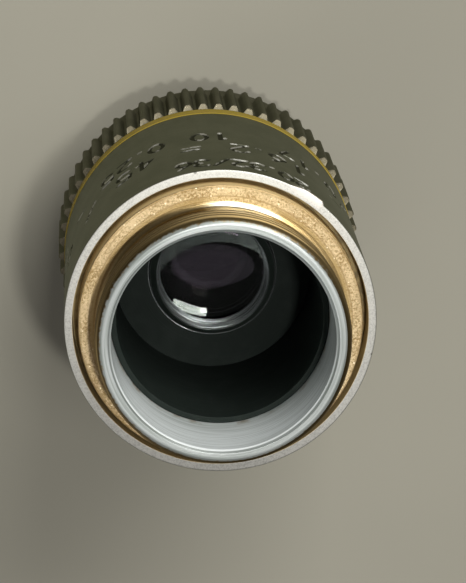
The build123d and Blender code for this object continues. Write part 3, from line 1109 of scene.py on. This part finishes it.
@dataclass
class Mount:
    """Brass mounting tube: relieved helical thread, grainy shoulder and plated bore."""

    bore_radius: float = 8.9
    thread_radius: float = 10.16
    spigot_radius: float = 10.4
    flange_radius: float = 11.46
    flange_bottom: float = -2.8
    spigot_bottom: float = -9.0
    tube_top: float = 5.46
    face_outer: float = 9.60
    face_inner: float = 9.15
    mouth_depth: float = 0.35
    pitch: float = 0.7056
    thread_depth: float = 0.42
    thread_start: float = 2.5
    run_out: float = 0.5
    thread_rise: tuple[float, float] = (0.12, 0.90)
    relief_radius: float = 9.62
    relief_fillet: float = 0.42
    relief_rise: float = 0.02
    dish_radius: float = 10.30
    dish_curve: float = 1.0
    lead_heights: tuple[float, ...] = (4.86, 5.22, 5.46)
    lead_radii: tuple[float, ...] = (10.16, 9.93, 9.62)
    rows_per_turn: int = 16
    segments: int = 320
    spigot_rounding: float = 0.1
    flange_rounding: float = 0.08
    finish: MountBrass = MountBrass("mount_brass", "brass")

    def thread(self, height: np.ndarray, angle: np.ndarray) -> np.ndarray:
        """Radius of the thread: the crest less a rounded triangle wave of height over
        pitch less angle over a full turn, sunk into the relief below it, and no more than
        the lead above it.

        Args:
            height: Column of heights.
            angle: Row of angles in radians.

        Returns:
            Grid of radii.
        """
        phase = height / self.pitch - angle / TURN
        wave = np.abs(2 * (phase - np.floor(phase)) - 1)
        cut = self.thread_radius - self.thread_depth * smooth(wave, *self.thread_rise)
        ready = smooth(height, self.thread_start, self.thread_start + self.run_out)
        radius = self.relief_radius + (cut - self.relief_radius) * ready
        return np.minimum(radius, np.interp(height, self.lead_heights, self.lead_radii))

    def build(self) -> Piece:
        """The tube's closed profile, with the thread's rows in place of one straight side.

        Returns:
            The new object.
        """
        root = Corner(self.relief_radius, self.relief_rise, self.relief_fillet)
        tip = Corner(self.face_outer, self.tube_top, CRISP)
        corners = [
            Corner(self.bore_radius, self.spigot_bottom, self.spigot_rounding),
            Corner(self.spigot_radius, self.spigot_bottom, self.spigot_rounding),
            Corner(self.spigot_radius, self.flange_bottom),
            Corner(self.flange_radius, self.flange_bottom, BROKEN),
            Corner(self.flange_radius, 0.0, self.flange_rounding),
            Corner(self.dish_radius, 0.0, self.dish_curve),
            root,
            tip,
            Corner(self.face_inner, self.tube_top, CRISP),
            Corner(self.bore_radius, self.tube_top - self.mouth_depth, BROKEN),
        ]
        profile, owner = soften(corners)
        below = profile[: np.flatnonzero(owner == corners.index(root))[-1] + 1]
        above = profile[np.flatnonzero(owner == corners.index(tip))[-1]:]
        count = int((self.tube_top - below[-1, 1]) / self.pitch * self.rows_per_turn)
        heights = np.linspace(below[-1, 1], self.tube_top, count + 1)[1:, None]
        angles = round_angles(self.segments)
        threaded = self.thread(heights, angles)
        radius = np.concatenate([
            np.repeat(below[:, :1], self.segments, axis=1),
            threaded,
            np.repeat(above[:, :1], self.segments, axis=1),
        ])
        height = np.concatenate([below[:, 1:], heights, above[:, 1:]])
        return add_surface("mounting_tube", wrap(radius, height, angles), sharp_angle=50)

    def install(self, shop: Workshop) -> None:
        """Builds and dresses the mount."""
        shop.deliver(self.build(), self.finish, "mount_barrel")


class Figures:
    """Single-line figures for engraving, in a cell one unit high."""

    width = 0.50

    def __init__(self) -> None:
        """Draws each figure as a list of open lines."""
        w = self.width
        h = w / 2
        arc = self.arc
        self.lines: dict[str, list[np.ndarray]] = {
            "0": [arc(h, 0.5, h, 0.5, 90, 450)],
            "1": [np.array([(0.14, 0.78), (0.30, 1.0), (0.30, 0.0)])],
            "2": [np.concatenate([arc(h, 0.74, h, 0.26, 170, -35), [(0.0, 0.0), (w, 0.0)]])],
            "3": [np.concatenate([arc(h, 0.76, h, 0.24, 150, -80),
                                  arc(h, 0.26, h, 0.26, 80, -150)])],
            "4": [np.array([(w, 0.28), (0.0, 0.28), (0.36, 1.0), (0.36, 0.0)])],
            "5": [np.concatenate([[(w, 1.0), (0.05, 1.0), (0.02, 0.56)],
                                  arc(h, 0.32, h, 0.32, 120, -150)])],
            "6": [np.concatenate([[(0.42, 1.0)], arc(h, 0.30, h, 0.30, 165, 525)])],
            "7": [np.array([(0.0, 1.0), (w, 1.0), (0.14, 0.0)])],
            "8": [arc(h, 0.76, h * 0.85, 0.24, -90, 270), arc(h, 0.26, h, 0.26, 90, 450)],
            "9": [np.concatenate([[(0.08, 0.0)], arc(h, 0.70, h, 0.30, -15, 345)])],
            ".": [np.array([(0.08, 0.02), (0.14, 0.02)])],
            "/": [np.array([(0.0, 0.0), (w, 1.0)])],
            "-": [np.array([(0.04, 0.48), (w - 0.04, 0.48)])],
            "=": [np.array([(0.0, 0.32), (w, 0.32)]), np.array([(0.0, 0.68), (w, 0.68)])],
        }

    @staticmethod
    def arc(x: float, y: float, across: float, up: float, start: float, end: float) -> np.ndarray:
        """Points on an ellipse: centre plus half width times cosine and half height times sine."""
        angle = np.radians(np.linspace(start, end, 15))
        return np.stack([x + across * np.cos(angle), y + up * np.sin(angle)], axis=1)

    def segments(self, text: str, height: float, gap: float) -> tuple[np.ndarray, float]:
        """Lays a row of figures out from the origin.

        Args:
            text: Figures, points, strokes and spaces.
            height: Height of a figure.
            gap: Space between figures, as a share of the height.

        Returns:
            Line pieces as start and end points, and the length of the row.
        """
        pieces, cursor = [], 0.0
        for sign in text:
            for line in self.lines.get(sign, []):
                placed = (line + (cursor, 0.0)) * height
                pieces.append(np.stack([placed[:-1], placed[1:]], axis=1))
            cursor += gap + (0.22 if sign == "." else self.width)
        return np.concatenate(pieces), (cursor - gap) * height


@dataclass(frozen=True)
class TextRow:
    """One engraved row: its figures, the height band and the middle's angle."""

    text: str
    bottom: float
    height: float
    middle: float
    gap: float = 0.25


@dataclass
class Sleeve:
    """Outer sleeve: plain satin shell with engraved rows and a knocked edge."""

    mouth_radius: float = 11.92
    radius: float = 12.6
    bore_radius: float = 11.5
    seat_radius: float = 12.1
    top: float = -0.5
    land: float = -4.0
    band_top: float = -22.5
    bottom: float = -24.1
    edge: float = 0.1
    stroke: float = 0.46
    wall: float = 0.09
    depth: float = 0.11
    end_slope: float = 0.035
    mouth_rounding: float = 0.04
    step: float = 0.084
    row_margin: float = 0.3
    edge_margin: float = 0.08
    foot_margin: float = 0.1
    plain_row: float = -18.5
    plain_columns: int = 60
    marked_half_angle: float = 98.0
    rows: tuple[TextRow, ...] = (
        TextRow("20.32/36", -4.45, 2.3, -99.0, 0.16),
        TextRow("0.25 - 16.2 = 45 / 6.8", -10.4, 2.7, -92.0),
        TextRow("160/0.17  10x0.25 - 32", -14.35, 2.5, -88.0),
    )
    knock_angle: float = -124.0
    knock_half_width: float = 6.5
    knock_height: float = 0.22
    finish: SatinPlate = SatinPlate(
        "sleeve_plate", "satin_plate", mouth=11.97, bare_from=-0.545, bare_to=0.0, engraved=True)

    def heights(self) -> np.ndarray:
        """Heights of the outer side's rows, close together only where figures are cut.

        Returns:
            The heights, from the top down.
        """
        levels = [self.top - self.edge - self.edge_margin]
        for row in self.rows:
            high, low = self.reach(row)
            levels.extend(np.linspace(high, low, int((high - low) / self.step)))
        levels.extend([self.plain_row, self.band_top + self.foot_margin])
        return np.array(sorted(set(levels), reverse=True))

    def reach(self, row: TextRow) -> tuple[float, float]:
        """Highest and lowest height that a row of figures can cut."""
        return row.bottom + row.height + self.row_margin, row.bottom - self.row_margin

    def angles(self) -> np.ndarray:
        """Angles round the sleeve, close together only on the marked side.

        Returns:
            The angles, as one row.
        """
        half = math.radians(self.marked_half_angle)
        dense = np.arange(-half, half, self.step / self.radius) - math.pi / 2
        rest = np.linspace(dense[-1], dense[0] + TURN, self.plain_columns + 2)[1:-1]
        return np.concatenate([dense, rest])[None, :]

    def groove(self, height: np.ndarray, angle: np.ndarray) -> np.ndarray:
        """Depth share of the engraving: 1 within half a stroke of the nearest line piece,
        less the width of the groove's wall, over which it falls smoothly to 0.

        Args:
            height: Column of heights.
            angle: Row of angles in radians.

        Returns:
            Grid of numbers between 0 and 1.
        """
        figures = Figures()
        share = np.zeros((height.size, angle.size))
        for row in self.rows:
            lines, length = figures.segments(row.text, row.height, row.gap)
            middle = math.radians(row.middle)
            high, low = self.reach(row)
            near = (height[:, 0] < high) & (height[:, 0] > low)
            along = (angle[0] - middle + math.pi) % TURN - math.pi
            along = along * self.radius + length / 2
            across, up = np.meshgrid(along, height[near, 0] - row.bottom)
            spot = np.stack([across, up], axis=-1)[:, :, None, :]
            start, span = lines[:, 0], lines[:, 1] - lines[:, 0]
            share_along = ((spot - start) * span).sum(-1) / (span * span).sum(-1)
            foot = start + np.clip(share_along, 0, 1)[..., None] * span
            distance = np.linalg.norm(spot - foot, axis=-1).min(axis=2)
            half = self.stroke / 2
            share[near] = 1 - smooth(distance, half - self.wall, half)
        return share

    def build(self) -> Piece:
        """The closed profile with dense rows on the outer side, sunk by the figures and
        swollen where the end was knocked. The ledge attribute is the fall of depth across
        a row, and is 1 on the groove walls that face up.

        Returns:
            The new object.
        """
        edge = Corner(self.radius, self.top - self.end_slope, self.edge)
        end = Corner(self.radius, self.band_top, BROKEN)
        corners = [
            Corner(self.mouth_radius, self.land),
            Corner(self.mouth_radius, self.top, self.mouth_rounding),
            edge,
            end,
            Corner(self.seat_radius, self.band_top),
            Corner(self.seat_radius, self.bottom, BROKEN),
            Corner(self.bore_radius, self.bottom, BROKEN),
            Corner(self.bore_radius, self.land),
        ]
        profile, owner = soften(corners, steps=5)
        above = profile[: np.flatnonzero(owner == corners.index(edge))[-1] + 1]
        below = profile[np.flatnonzero(owner == corners.index(end))[0]:]
        angle = self.angles()
        level = self.heights()[:, None]
        level = level[(level[:, 0] < above[-1, 1] - 0.01) & (level[:, 0] > below[0, 1] + 0.01)]
        cut = self.groove(level, angle)
        blank = np.zeros((1, angle.size))
        radius = np.concatenate([above[:, :1] + blank, self.radius - self.depth * cut,
                                 below[:, :1] + blank])
        height = np.concatenate([above[:, 1:], level, below[:, 1:]]) + blank
        swell = self.knock(height, angle) * (radius > self.mouth_radius + 0.3)
        radius = radius + self.knock_height * swell
        groove = np.concatenate([np.zeros((len(above), angle.size)), cut,
                                 np.zeros((len(below), angle.size))])
        fall = np.roll(groove, 1, axis=0) - np.roll(groove, -1, axis=0)
        return add_surface("engraved_sleeve", wrap(radius, height, angle), values={
            "groove": groove, "ledge": np.clip(fall, 0, 1), "knock": swell})

    def knock(self, height: np.ndarray, angle: np.ndarray) -> np.ndarray:
        """Swelling of the knocked edge: a bump along the edge, slow at one end and steep
        at the other, that fades down the side.

        Args:
            height: Grid of heights.
            angle: Row of angles in radians.

        Returns:
            Grid of shares between 0 and 1.
        """
        away = (np.degrees(angle) - self.knock_angle + 180) % 360 - 180
        steep = smooth(away, -self.knock_half_width, -self.knock_half_width * 0.7)
        slow = 1 - smooth(away, self.knock_half_width * 0.2, self.knock_half_width * 1.5)
        return steep * slow * smooth(height, self.top - 0.9, self.top - 0.15)

    def install(self, shop: Workshop) -> None:
        """Builds and dresses the sleeve."""
        shop.deliver(self.build(), self.finish, "outer_sleeve")


@dataclass
class Grip:
    """Colour ring, knurled ring and nose cone."""

    ring_inner: float = 12.14
    ring_outer: float = 12.66
    ring_top: float = -22.5
    knurl_top: float = -24.1
    knurl_bottom: float = -31.5
    bore_radius: float = 11.5
    root_radius: float = 12.48
    tip_radius: float = 13.18
    teeth: int = 60
    first_tooth: float = 2.7
    base_width: float = 1.04
    tip_width: float = 0.32
    softness: float = 0.10
    end_chamfer: float = 0.1
    end_slope: float = 0.16
    run_out_radius: float = 12.86
    run_out_length: float = 1.1
    nose_thread_radius: float = 10.63
    collar_radius: float = 12.03
    collar_bottom: float = -33.1
    socket_bottom: float = -33.46
    face_radius: float = 7.8
    face_hole: float = 6.09
    tip_height: float = -36.8
    nose_face: float = -38.2
    collar_rounding: float = 0.25
    tip_rounding: float = 0.6
    face_rounding: float = 0.4
    hole_rounding: float = 0.06
    knurl_plate: SatinPlate = SatinPlate(
        "knurl_plate", "satin_plate", plate=(0.105, 0.105, 0.070),
        plate_light=(0.135, 0.132, 0.095), bare=(0.19, 0.172, 0.122), bare_from=-24.28,
        bare_to=-24.0, gloss=0.45)
    nose_plate: SatinPlate = SatinPlate("nose_plate", "satin_plate")
    lacquer: BandLacquer = BandLacquer("band_lacquer", "yellow_band")

    def tooth_columns(self) -> np.ndarray:
        """Angles of the columns, placed at the corners of each tooth's outline.

        Returns:
            The angles, as one row.
        """
        half_tip, half_base = self.tip_width / 2, self.base_width / 2
        half_pitch = math.pi * self.root_radius / self.teeth
        right = np.array([half_tip - 0.1, half_tip - 0.02, half_tip + 0.06, 0.36,
                          half_base - 0.06, half_base + 0.04, half_pitch])
        across = np.concatenate([-right[::-1], [0.0], right[:-1]]) / self.root_radius
        middles = np.arange(self.teeth)[:, None] * TURN / self.teeth
        return (middles + across + math.radians(self.first_tooth)).reshape(1, -1)

    def tooth(self, angle: np.ndarray) -> np.ndarray:
        """Radius of the toothed outline.

        The ramp falls from 1 at the edge of a tooth's tip to 0 at its base. It is held
        between 0 and 1 by two soft limits, each the softness times the logarithm of one
        plus an exponential, and the tooth's height times it stands on the root circle.

        Args:
            angle: Row of angles in radians.

        Returns:
            Row of radii.
        """
        pitch = TURN / self.teeth
        from_first = angle - math.radians(self.first_tooth)
        away = np.abs((from_first + pitch / 2) % pitch - pitch / 2) * self.root_radius
        half_tip, half_base = self.tip_width / 2, self.base_width / 2
        ramp = (half_base - away) / (half_base - half_tip)
        held = self.softness * np.logaddexp(0, ramp / self.softness)
        shape = 1 - self.softness * np.logaddexp(0, (1 - held) / self.softness)
        shape = (shape - shape.min()) / (shape.max() - shape.min())
        return self.root_radius + (self.tip_radius - self.root_radius) * shape

    def knurl(self) -> Piece:
        """Toothed ring: at each row the tooth outline, but no more than the chamfered
        envelope, and no less than the cutter's run-out at the far end, between two flat
        ends and the bore.

        Returns:
            The new object.
        """
        angle = self.tooth_columns()
        length = self.knurl_top - self.knurl_bottom
        drop = np.array([0.0, 0.03, 0.07, 0.1, 0.2, 0.45, 0.75, 1.1])
        steps = np.concatenate([drop, [length / 2], length - drop[::-1]])[:, None]
        level = self.knurl_top - steps
        from_end = np.minimum(steps, length - steps)
        envelope = self.tip_radius - np.clip(self.end_chamfer - from_end, 0, None)
        left = smooth(steps, length - self.run_out_length, length)
        floor = self.root_radius + (self.run_out_radius - self.root_radius) * left
        outline = np.minimum(np.maximum(self.tooth(angle), floor), envelope)
        sink = self.end_slope * (outline - self.root_radius) / (self.tip_radius - self.root_radius)
        sink = sink * np.clip(1 - steps, 0, 1)
        inner = self.bore_radius + np.zeros_like(angle)
        middle = 0.5 * (self.bore_radius + self.root_radius) + np.zeros_like(angle)
        radius = np.concatenate([inner, middle, outline, middle, inner])
        top, bottom = level[:1], level[-1:]
        height = np.concatenate([top, top, level, bottom, bottom]) + np.zeros_like(angle)
        height[2:-2] -= sink
        return add_surface("knurled_grip", wrap(radius, height, angle), sharp_angle=30)

    def band(self) -> Piece:
        """The colour ring, with its edges just broken.

        Returns:
            The new object.
        """
        return turned("colour_band", [
            Corner(self.ring_inner, self.knurl_top, CRISP),
            Corner(self.ring_outer, self.knurl_top, BROKEN),
            Corner(self.ring_outer, self.ring_top, BROKEN),
            Corner(self.ring_inner, self.ring_top, CRISP),
        ])

    def nose(self) -> Piece:
        """The nose cone: collar, cone, rounded tip, flat face and socket.

        Returns:
            The new object.
        """
        return turned("nose_shell", [
            Corner(self.nose_thread_radius, self.knurl_bottom),
            Corner(self.collar_radius, self.knurl_bottom, BROKEN),
            Corner(self.collar_radius, self.collar_bottom, self.collar_rounding),
            Corner(self.face_radius, self.tip_height, self.tip_rounding),
            Corner(self.face_radius, self.nose_face, self.face_rounding),
            Corner(self.face_hole, self.nose_face, self.hole_rounding),
            Corner(self.face_hole, self.socket_bottom),
            Corner(self.nose_thread_radius, self.socket_bottom),
        ])

    def install(self, shop: Workshop) -> None:
        """Builds and dresses the three shells.

        Args:
            shop: Where the finished pieces go.
        """
        shop.deliver(self.band(), self.lacquer, "colour_ring")
        shop.deliver(self.knurl(), self.knurl_plate, "knurled_ring")
        shop.deliver(self.nose(), self.nose_plate, "nose_cone")


@dataclass
class Optics:
    """Black liner, cells, retaining rings and lenses."""

    stack_radius: float = 8.86
    liner_inner: float = 8.39
    liner_top: float = -1.76
    floor: float = -16.6
    cell_bottom: float = -21.67
    cell_hole: float = 4.3
    cell_seat: float = -20.84
    ring_pocket: float = 5.42
    ring_pocket_bottom: float = -18.33
    ring_bottom: float = -18.3
    ring_outer: float = 5.39
    ring_inner: float = 4.92
    ring_lip: float = -16.4
    ring_top: float = -15.4
    ring_foot: float = -17.5
    ring_shoulder: float = -17.65
    clear_radius: float = 4.45
    bevel_width: float = 0.3
    bevel_ledges: int = 5
    crest_width: float = 0.1
    lens_radius: float = 4.9
    crown_vertex: float = -17.05
    crown_curve: float = 22.0
    glass_bottom: float = -20.96
    bottom_curve: float = 60.0
    flint_gap: float = 0.05
    cement_vertex: float = -19.75
    cement_curve: float = 22.5
    floor_gap: float = 0.01
    pocket_rounding: float = 0.12
    lip_rounding: float = 0.04
    ledge_rounding: float = 0.02
    ledge_slope: float = 0.012
    ledge_share: float = 0.85
    anodised: BlackFinish = BlackFinish(
        "black_anodised_metal", "black_anodised", black=(0.015, 0.0205, 0.0178),
        bloom=(0.022, 0.029, 0.0255))
    blackened: BlackFinish = BlackFinish("blackened_brass", "black_brass", roughness=0.36)
    aged: AgedBrass = AgedBrass("aged_brass", "black_brass")
    # Its black is lighter than the cell's: painted light on the ring's cone, which faces away from
    # the lamps
    ring_finish: RingBlack = RingBlack(
        "lens_ring_black", "black_brass", black=(0.034, 0.045, 0.039))
    cell_finish: RingBlack = RingBlack(
        "rear_cell_black", "black_brass", roughness=0.36, bevel_radius=0.0, edge_from=5.40,
        edge_to=5.50, black=anodised.black, bloom=anodised.bloom, bare=(0.55, 0.60, 0.60))
    steel: TurnedMetal = TurnedMetal("turned_steel", "ring_steel")
    coated: LensGlass = LensGlass("coated_glass", "crown_glass", reflex=(0.27, 0.20, 0.28))
    crown: LensGlass = LensGlass("polished_crown", "crown_glass", reflex=(0.85, 0.92, 0.90))
    flint: LensGlass = LensGlass("polished_flint", "flint_glass", ior=1.62)
    cemented: LensGlass = LensGlass("cemented_flint", "flint_glass", ior=1.066)
    # Painted shade: the near-black tint of the lower face stands for the dark of the unlit cells
    # below
    inner_face: LensGlass = LensGlass(
        "dark_inner_face", "crown_glass", tint=(0.012, 0.012, 0.012),
        reflex=(0.85, 0.92, 0.90), ior=1.75)

    def liner(self) -> Piece:
        """The black tube, its top edge just broken.

        Returns:
            The new object.
        """
        return turned("bore_liner", [
            Corner(self.liner_inner, self.floor + self.floor_gap),
            Corner(self.stack_radius, self.floor + self.floor_gap),
            Corner(self.stack_radius, self.liner_top, BROKEN),
            Corner(self.liner_inner, self.liner_top, BROKEN),
        ])

    def cell(self) -> Piece:
        """The rear cell: floor, pocket for the ring, lens seat and aperture.

        Returns:
            The new object.
        """
        return turned("rear_lens_cell", [
            Corner(self.ring_pocket, self.floor, self.pocket_rounding),
            Corner(self.stack_radius, self.floor),
            Corner(self.stack_radius, self.cell_bottom),
            Corner(self.cell_hole, self.cell_bottom, CRISP),
            Corner(self.cell_hole, self.cell_seat),
            Corner(self.ring_inner, self.cell_seat),
            Corner(self.ring_inner, self.ring_pocket_bottom),
            Corner(self.ring_pocket, self.ring_pocket_bottom),
        ])

    def ring(self) -> Piece:
        """The rear ring: skirt, lip, cone, and the bright bevel, which the tool left in
        narrow ledges.

        Returns:
            The new object.
        """
        crest = self.clear_radius + self.bevel_width
        inward = self.bevel_width / self.bevel_ledges
        down = (self.ring_top - self.ring_foot) / self.bevel_ledges
        ledges = []
        for number in range(self.bevel_ledges):
            outer = crest - number * inward
            level = self.ring_top - (number + self.ledge_share) * down
            ledges.append(Corner(outer, level))
            ledges.append(Corner(outer - inward, level - self.ledge_slope, self.ledge_rounding))
        return turned("rear_lens_ring", [
            Corner(self.ring_inner, self.ring_bottom),
            Corner(self.ring_outer, self.ring_bottom),
            Corner(self.ring_outer, self.ring_lip, self.lip_rounding),
            Corner(crest + self.crest_width, self.ring_top, self.lip_rounding),
            Corner(crest, self.ring_top, CRISP),
            *ledges,
            Corner(self.clear_radius, self.ring_foot),
            Corner(self.ring_inner, self.ring_shoulder),
        ])

    def lens_body(self, name: str, edge: float, top: tuple[float, float],
                  bottom: tuple[float, float]) -> Piece:
        """A lens: two spherical faces, each the curve's radius less the root of its square
        less the distance from the axis squared, joined by a cylinder.

        Args:
            name: The object's name.
            edge: Radius of the lens.
            top: Height of the upper face on the axis, and its curve, above 0 if convex.
            bottom: Height of the lower face on the axis, and its curve in the same way.

        Returns:
            The new object.
        """
        out = np.linspace(0, edge, 32)
        faces = []
        for (vertex, curve), side in ((top, -1.0), (bottom, 1.0)):
            sag = abs(curve) - np.sqrt(curve**2 - out**2)
            faces.append(vertex + side * math.copysign(1.0, curve) * sag)
        radius = np.concatenate([out, out[::-1]])[:, None]
        height = np.concatenate([faces[0], faces[1][::-1]])[:, None]
        return add_surface(name, wrap(radius, height, round_angles(128)), closed_rows=False)

    def lenses(self, shop: Workshop) -> None:
        """The cemented pair: a body of crown glass with a coated upper face, a lower face
        whose near-black tint is painted shade standing for the unlit cells below, and a blackened
        edge, and in it the flint, whose index is the one against the crown.

        Args:
            shop: Where the finished pieces go.
        """
        body = self.lens_body("rear_crown_glass", self.lens_radius,
                              (self.crown_vertex, self.crown_curve),
                              (self.glass_bottom, self.bottom_curve))
        shop.deliver(body, self.coated, "rear_crown_lens")
        body.data.materials.append(shop.material(self.inner_face))
        body.data.materials.append(shop.material(self.blackened))
        slope = np.empty(3 * len(body.data.polygons))
        body.data.polygons.foreach_get("normal", slope)
        upward = slope.reshape(-1, 3)[:, 2]
        slot = np.where(upward > 0.5, 0, np.where(upward < -0.5, 1, 2))
        body.data.polygons.foreach_set("material_index", slot.astype(np.int32))
        flint = self.lens_body("rear_flint_glass", self.lens_radius - 0.02,
                               (self.cement_vertex, -self.cement_curve),
                               (self.glass_bottom + self.flint_gap, self.bottom_curve))
        shop.deliver(flint, self.cemented, "rear_flint_lens")

    def install(self, shop: Workshop) -> None:
        """Builds what the bore shows, and dresses the hidden CAD pieces.

        Args:
            shop: Where the finished pieces go.
        """
        shop.deliver(self.liner(), self.anodised, "stray_light_tube")
        shop.deliver(self.cell(), self.cell_finish, "rear_cell")
        shop.deliver(self.ring(), self.ring_finish, "rear_retaining_ring")
        self.lenses(shop)
        shop.dress_node("lens_barrel", self.aged)
        for node in ("stop_disc", "front_cell", "front_retaining_ring", "stack_lock_ring"):
            shop.dress_node(node, self.blackened)
        shop.dress_node("spacer_tube", self.anodised)
        for node in ("parfocal_shim", "barrel_lock_screws"):
            shop.dress_node(node, self.steel)
        shop.dress_node("front_crown_lens", self.crown)
        shop.dress_node("front_flint_lens", self.flint)


# The studio


class Side(Enum):
    """Where a lamp stands, as directions in the row frame."""

    CAMERA = (-0.094, -0.098, 0.991)
    WINDOW = (-0.21, -0.130, 0.969)
    CEILING = (-0.03, 0.24, 0.97)
    MARKED = (-0.32, -0.65, 0.69)
    PLAIN = (0.62, 0.48, 0.62)


@dataclass(frozen=True)
class SoftLight:
    """A flat lamp that faces the object from one side.

    The first size runs along the direction given, laid square to the lamp's own.
    """

    side: Side
    distance: float
    size: tuple[float, float]
    power: float
    along: Place = (1.0, 0.0, 0.0)
    colour: Colour = (1.0, 0.98, 0.94)

    def build(self, target: Vector) -> None:
        """Adds the lamp.

        Args:
            target: The point that it faces.
        """
        data = bpy.data.lights.new(f"soft_light_{self.side.name.lower()}", "AREA")
        data.shape = "ELLIPSE" if self.side is Side.CEILING else "RECTANGLE"
        data.size, data.size_y = (part * MM for part in self.size)
        data.energy = self.power
        data.color = self.colour
        lamp = bpy.data.objects.new(data.name, data)
        out = Vector(self.side.value).normalized()
        across = Vector(self.along)
        across = (across - out * out.dot(across)).normalized()
        turn = Matrix((across, out.cross(across), out)).transposed()
        place = Matrix.Translation(target + out * self.distance * MM)
        lamp.matrix_world = place @ turn.to_4x4()
        bpy.context.scene.collection.objects.link(lamp)


@dataclass
class Studio:
    """Floor, lights and the camera, which stands as the photograph's did."""

    floor_height: float = -38.2
    floor_size: float = 1400.0
    sleeve_end: Place = (0.0, 0.0, -0.5)
    sleeve_end_seen: Place = (-0.990, 2.498, 241.285)
    axis_seen: Place = (0.04931, 0.25973, -0.96442)
    focal_pixels: float = 3000.0
    picture_height: float = 583.0
    sensor: float = 36.0
    aim_height: float = -10.0
    sky_colour: Colour = (1.0, 0.985, 0.95)
    sky_strength: float = 0.06
    lights: tuple[SoftLight, ...] = (
        SoftLight(Side.CAMERA, 420.0, (18.0, 18.0), 0.50),
        SoftLight(Side.WINDOW, 450.0, (120.0, 74.0), 0.26, along=(0.956, -0.293, 0.0)),
        SoftLight(Side.CEILING, 420.0, (260.0, 130.0), 0.018, colour=(1.0, 0.78, 1.0)),
        SoftLight(Side.MARKED, 420.0, (260.0, 200.0), 1.50),
        SoftLight(Side.PLAIN, 420.0, (300.0, 300.0), 0.35),
    )

    def camera(self) -> None:
        """Adds the camera.

        Seen from it, with x right, y down and z forwards, the axis points along
        axis_seen and the sleeve's end stands at sleeve_end_seen. The side of the sleeve
        that faces -Y is up in the picture.
        """
        up_axis = Vector(self.axis_seen).normalized()
        down = Vector((0.0, 1.0, 0.0))
        y_axis = (down - up_axis * up_axis.dot(down)).normalized()
        x_axis = y_axis.cross(up_axis)
        to_seen = Matrix((x_axis, y_axis, up_axis)).transposed()
        to_row = to_seen.transposed()
        eye = Vector(self.sleeve_end) - to_row @ Vector(self.sleeve_end_seen)
        right, seen_down, forwards = (to_seen[k].copy() for k in range(3))
        turn = Matrix((right, -seen_down, -forwards)).transposed()
        data = bpy.data.cameras.new("camera")
        data.sensor_width = self.sensor
        data.lens = self.focal_pixels / self.picture_height * self.sensor
        data.clip_start = 0.01
        data.clip_end = 5.0
        camera = bpy.data.objects.new("camera", data)
        camera.matrix_world = Matrix.Translation(eye * MM) @ turn.to_4x4()
        bpy.context.scene.collection.objects.link(camera)
        bpy.context.scene.camera = camera

    def floor(self, shop: Workshop) -> None:
        """Adds the pale floor that the objective stands on.

        Args:
            shop: Where its material is made.
        """
        half, level = self.floor_size / 2 * MM, self.floor_height * MM
        mesh = bpy.data.meshes.new("floor")
        corners = [(-half, -half, level), (half, -half, level), (half, half, level),
                   (-half, half, level)]
        mesh.from_pydata(corners, [], [(0, 1, 2, 3)])
        floor = bpy.data.objects.new("floor", mesh)
        floor.data.materials.append(shop.material(FloorPaper("pale_floor", "floor")))
        bpy.context.scene.collection.objects.link(floor)

    def world(self) -> None:
        """Adds a plain, even sky."""
        world = bpy.data.worlds.new("even_sky")
        world.use_nodes = True
        sky = world.node_tree.nodes["Background"]
        sky.inputs["Color"].default_value = (*self.sky_colour, 1.0)
        sky.inputs["Strength"].default_value = self.sky_strength
        bpy.context.scene.world = world

    def build(self, shop: Workshop) -> None:
        """Sets the whole studio up.

        Args:
            shop: Where the floor's material is made.
        """
        self.floor(shop)
        self.world()
        for light in self.lights:
            light.build(Vector((0.0, 0.0, self.aim_height * MM)))
        self.camera()
        bpy.context.scene.view_settings.view_transform = "Standard"


def main() -> None:
    """Loads the frame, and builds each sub-assembly in order."""
    logging.basicConfig(level=logging.INFO, format="%(message)s")
    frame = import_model()
    shop = Workshop(frame["nodes"])
    for assembly in (Mount(), Sleeve(), Grip(), Optics()):
        LOG.info("building %s", type(assembly).__name__)
        assembly.install(shop)
    Studio().build(shop)
    bpy.context.view_layer.update()


if __name__ == "__main__":
    main()
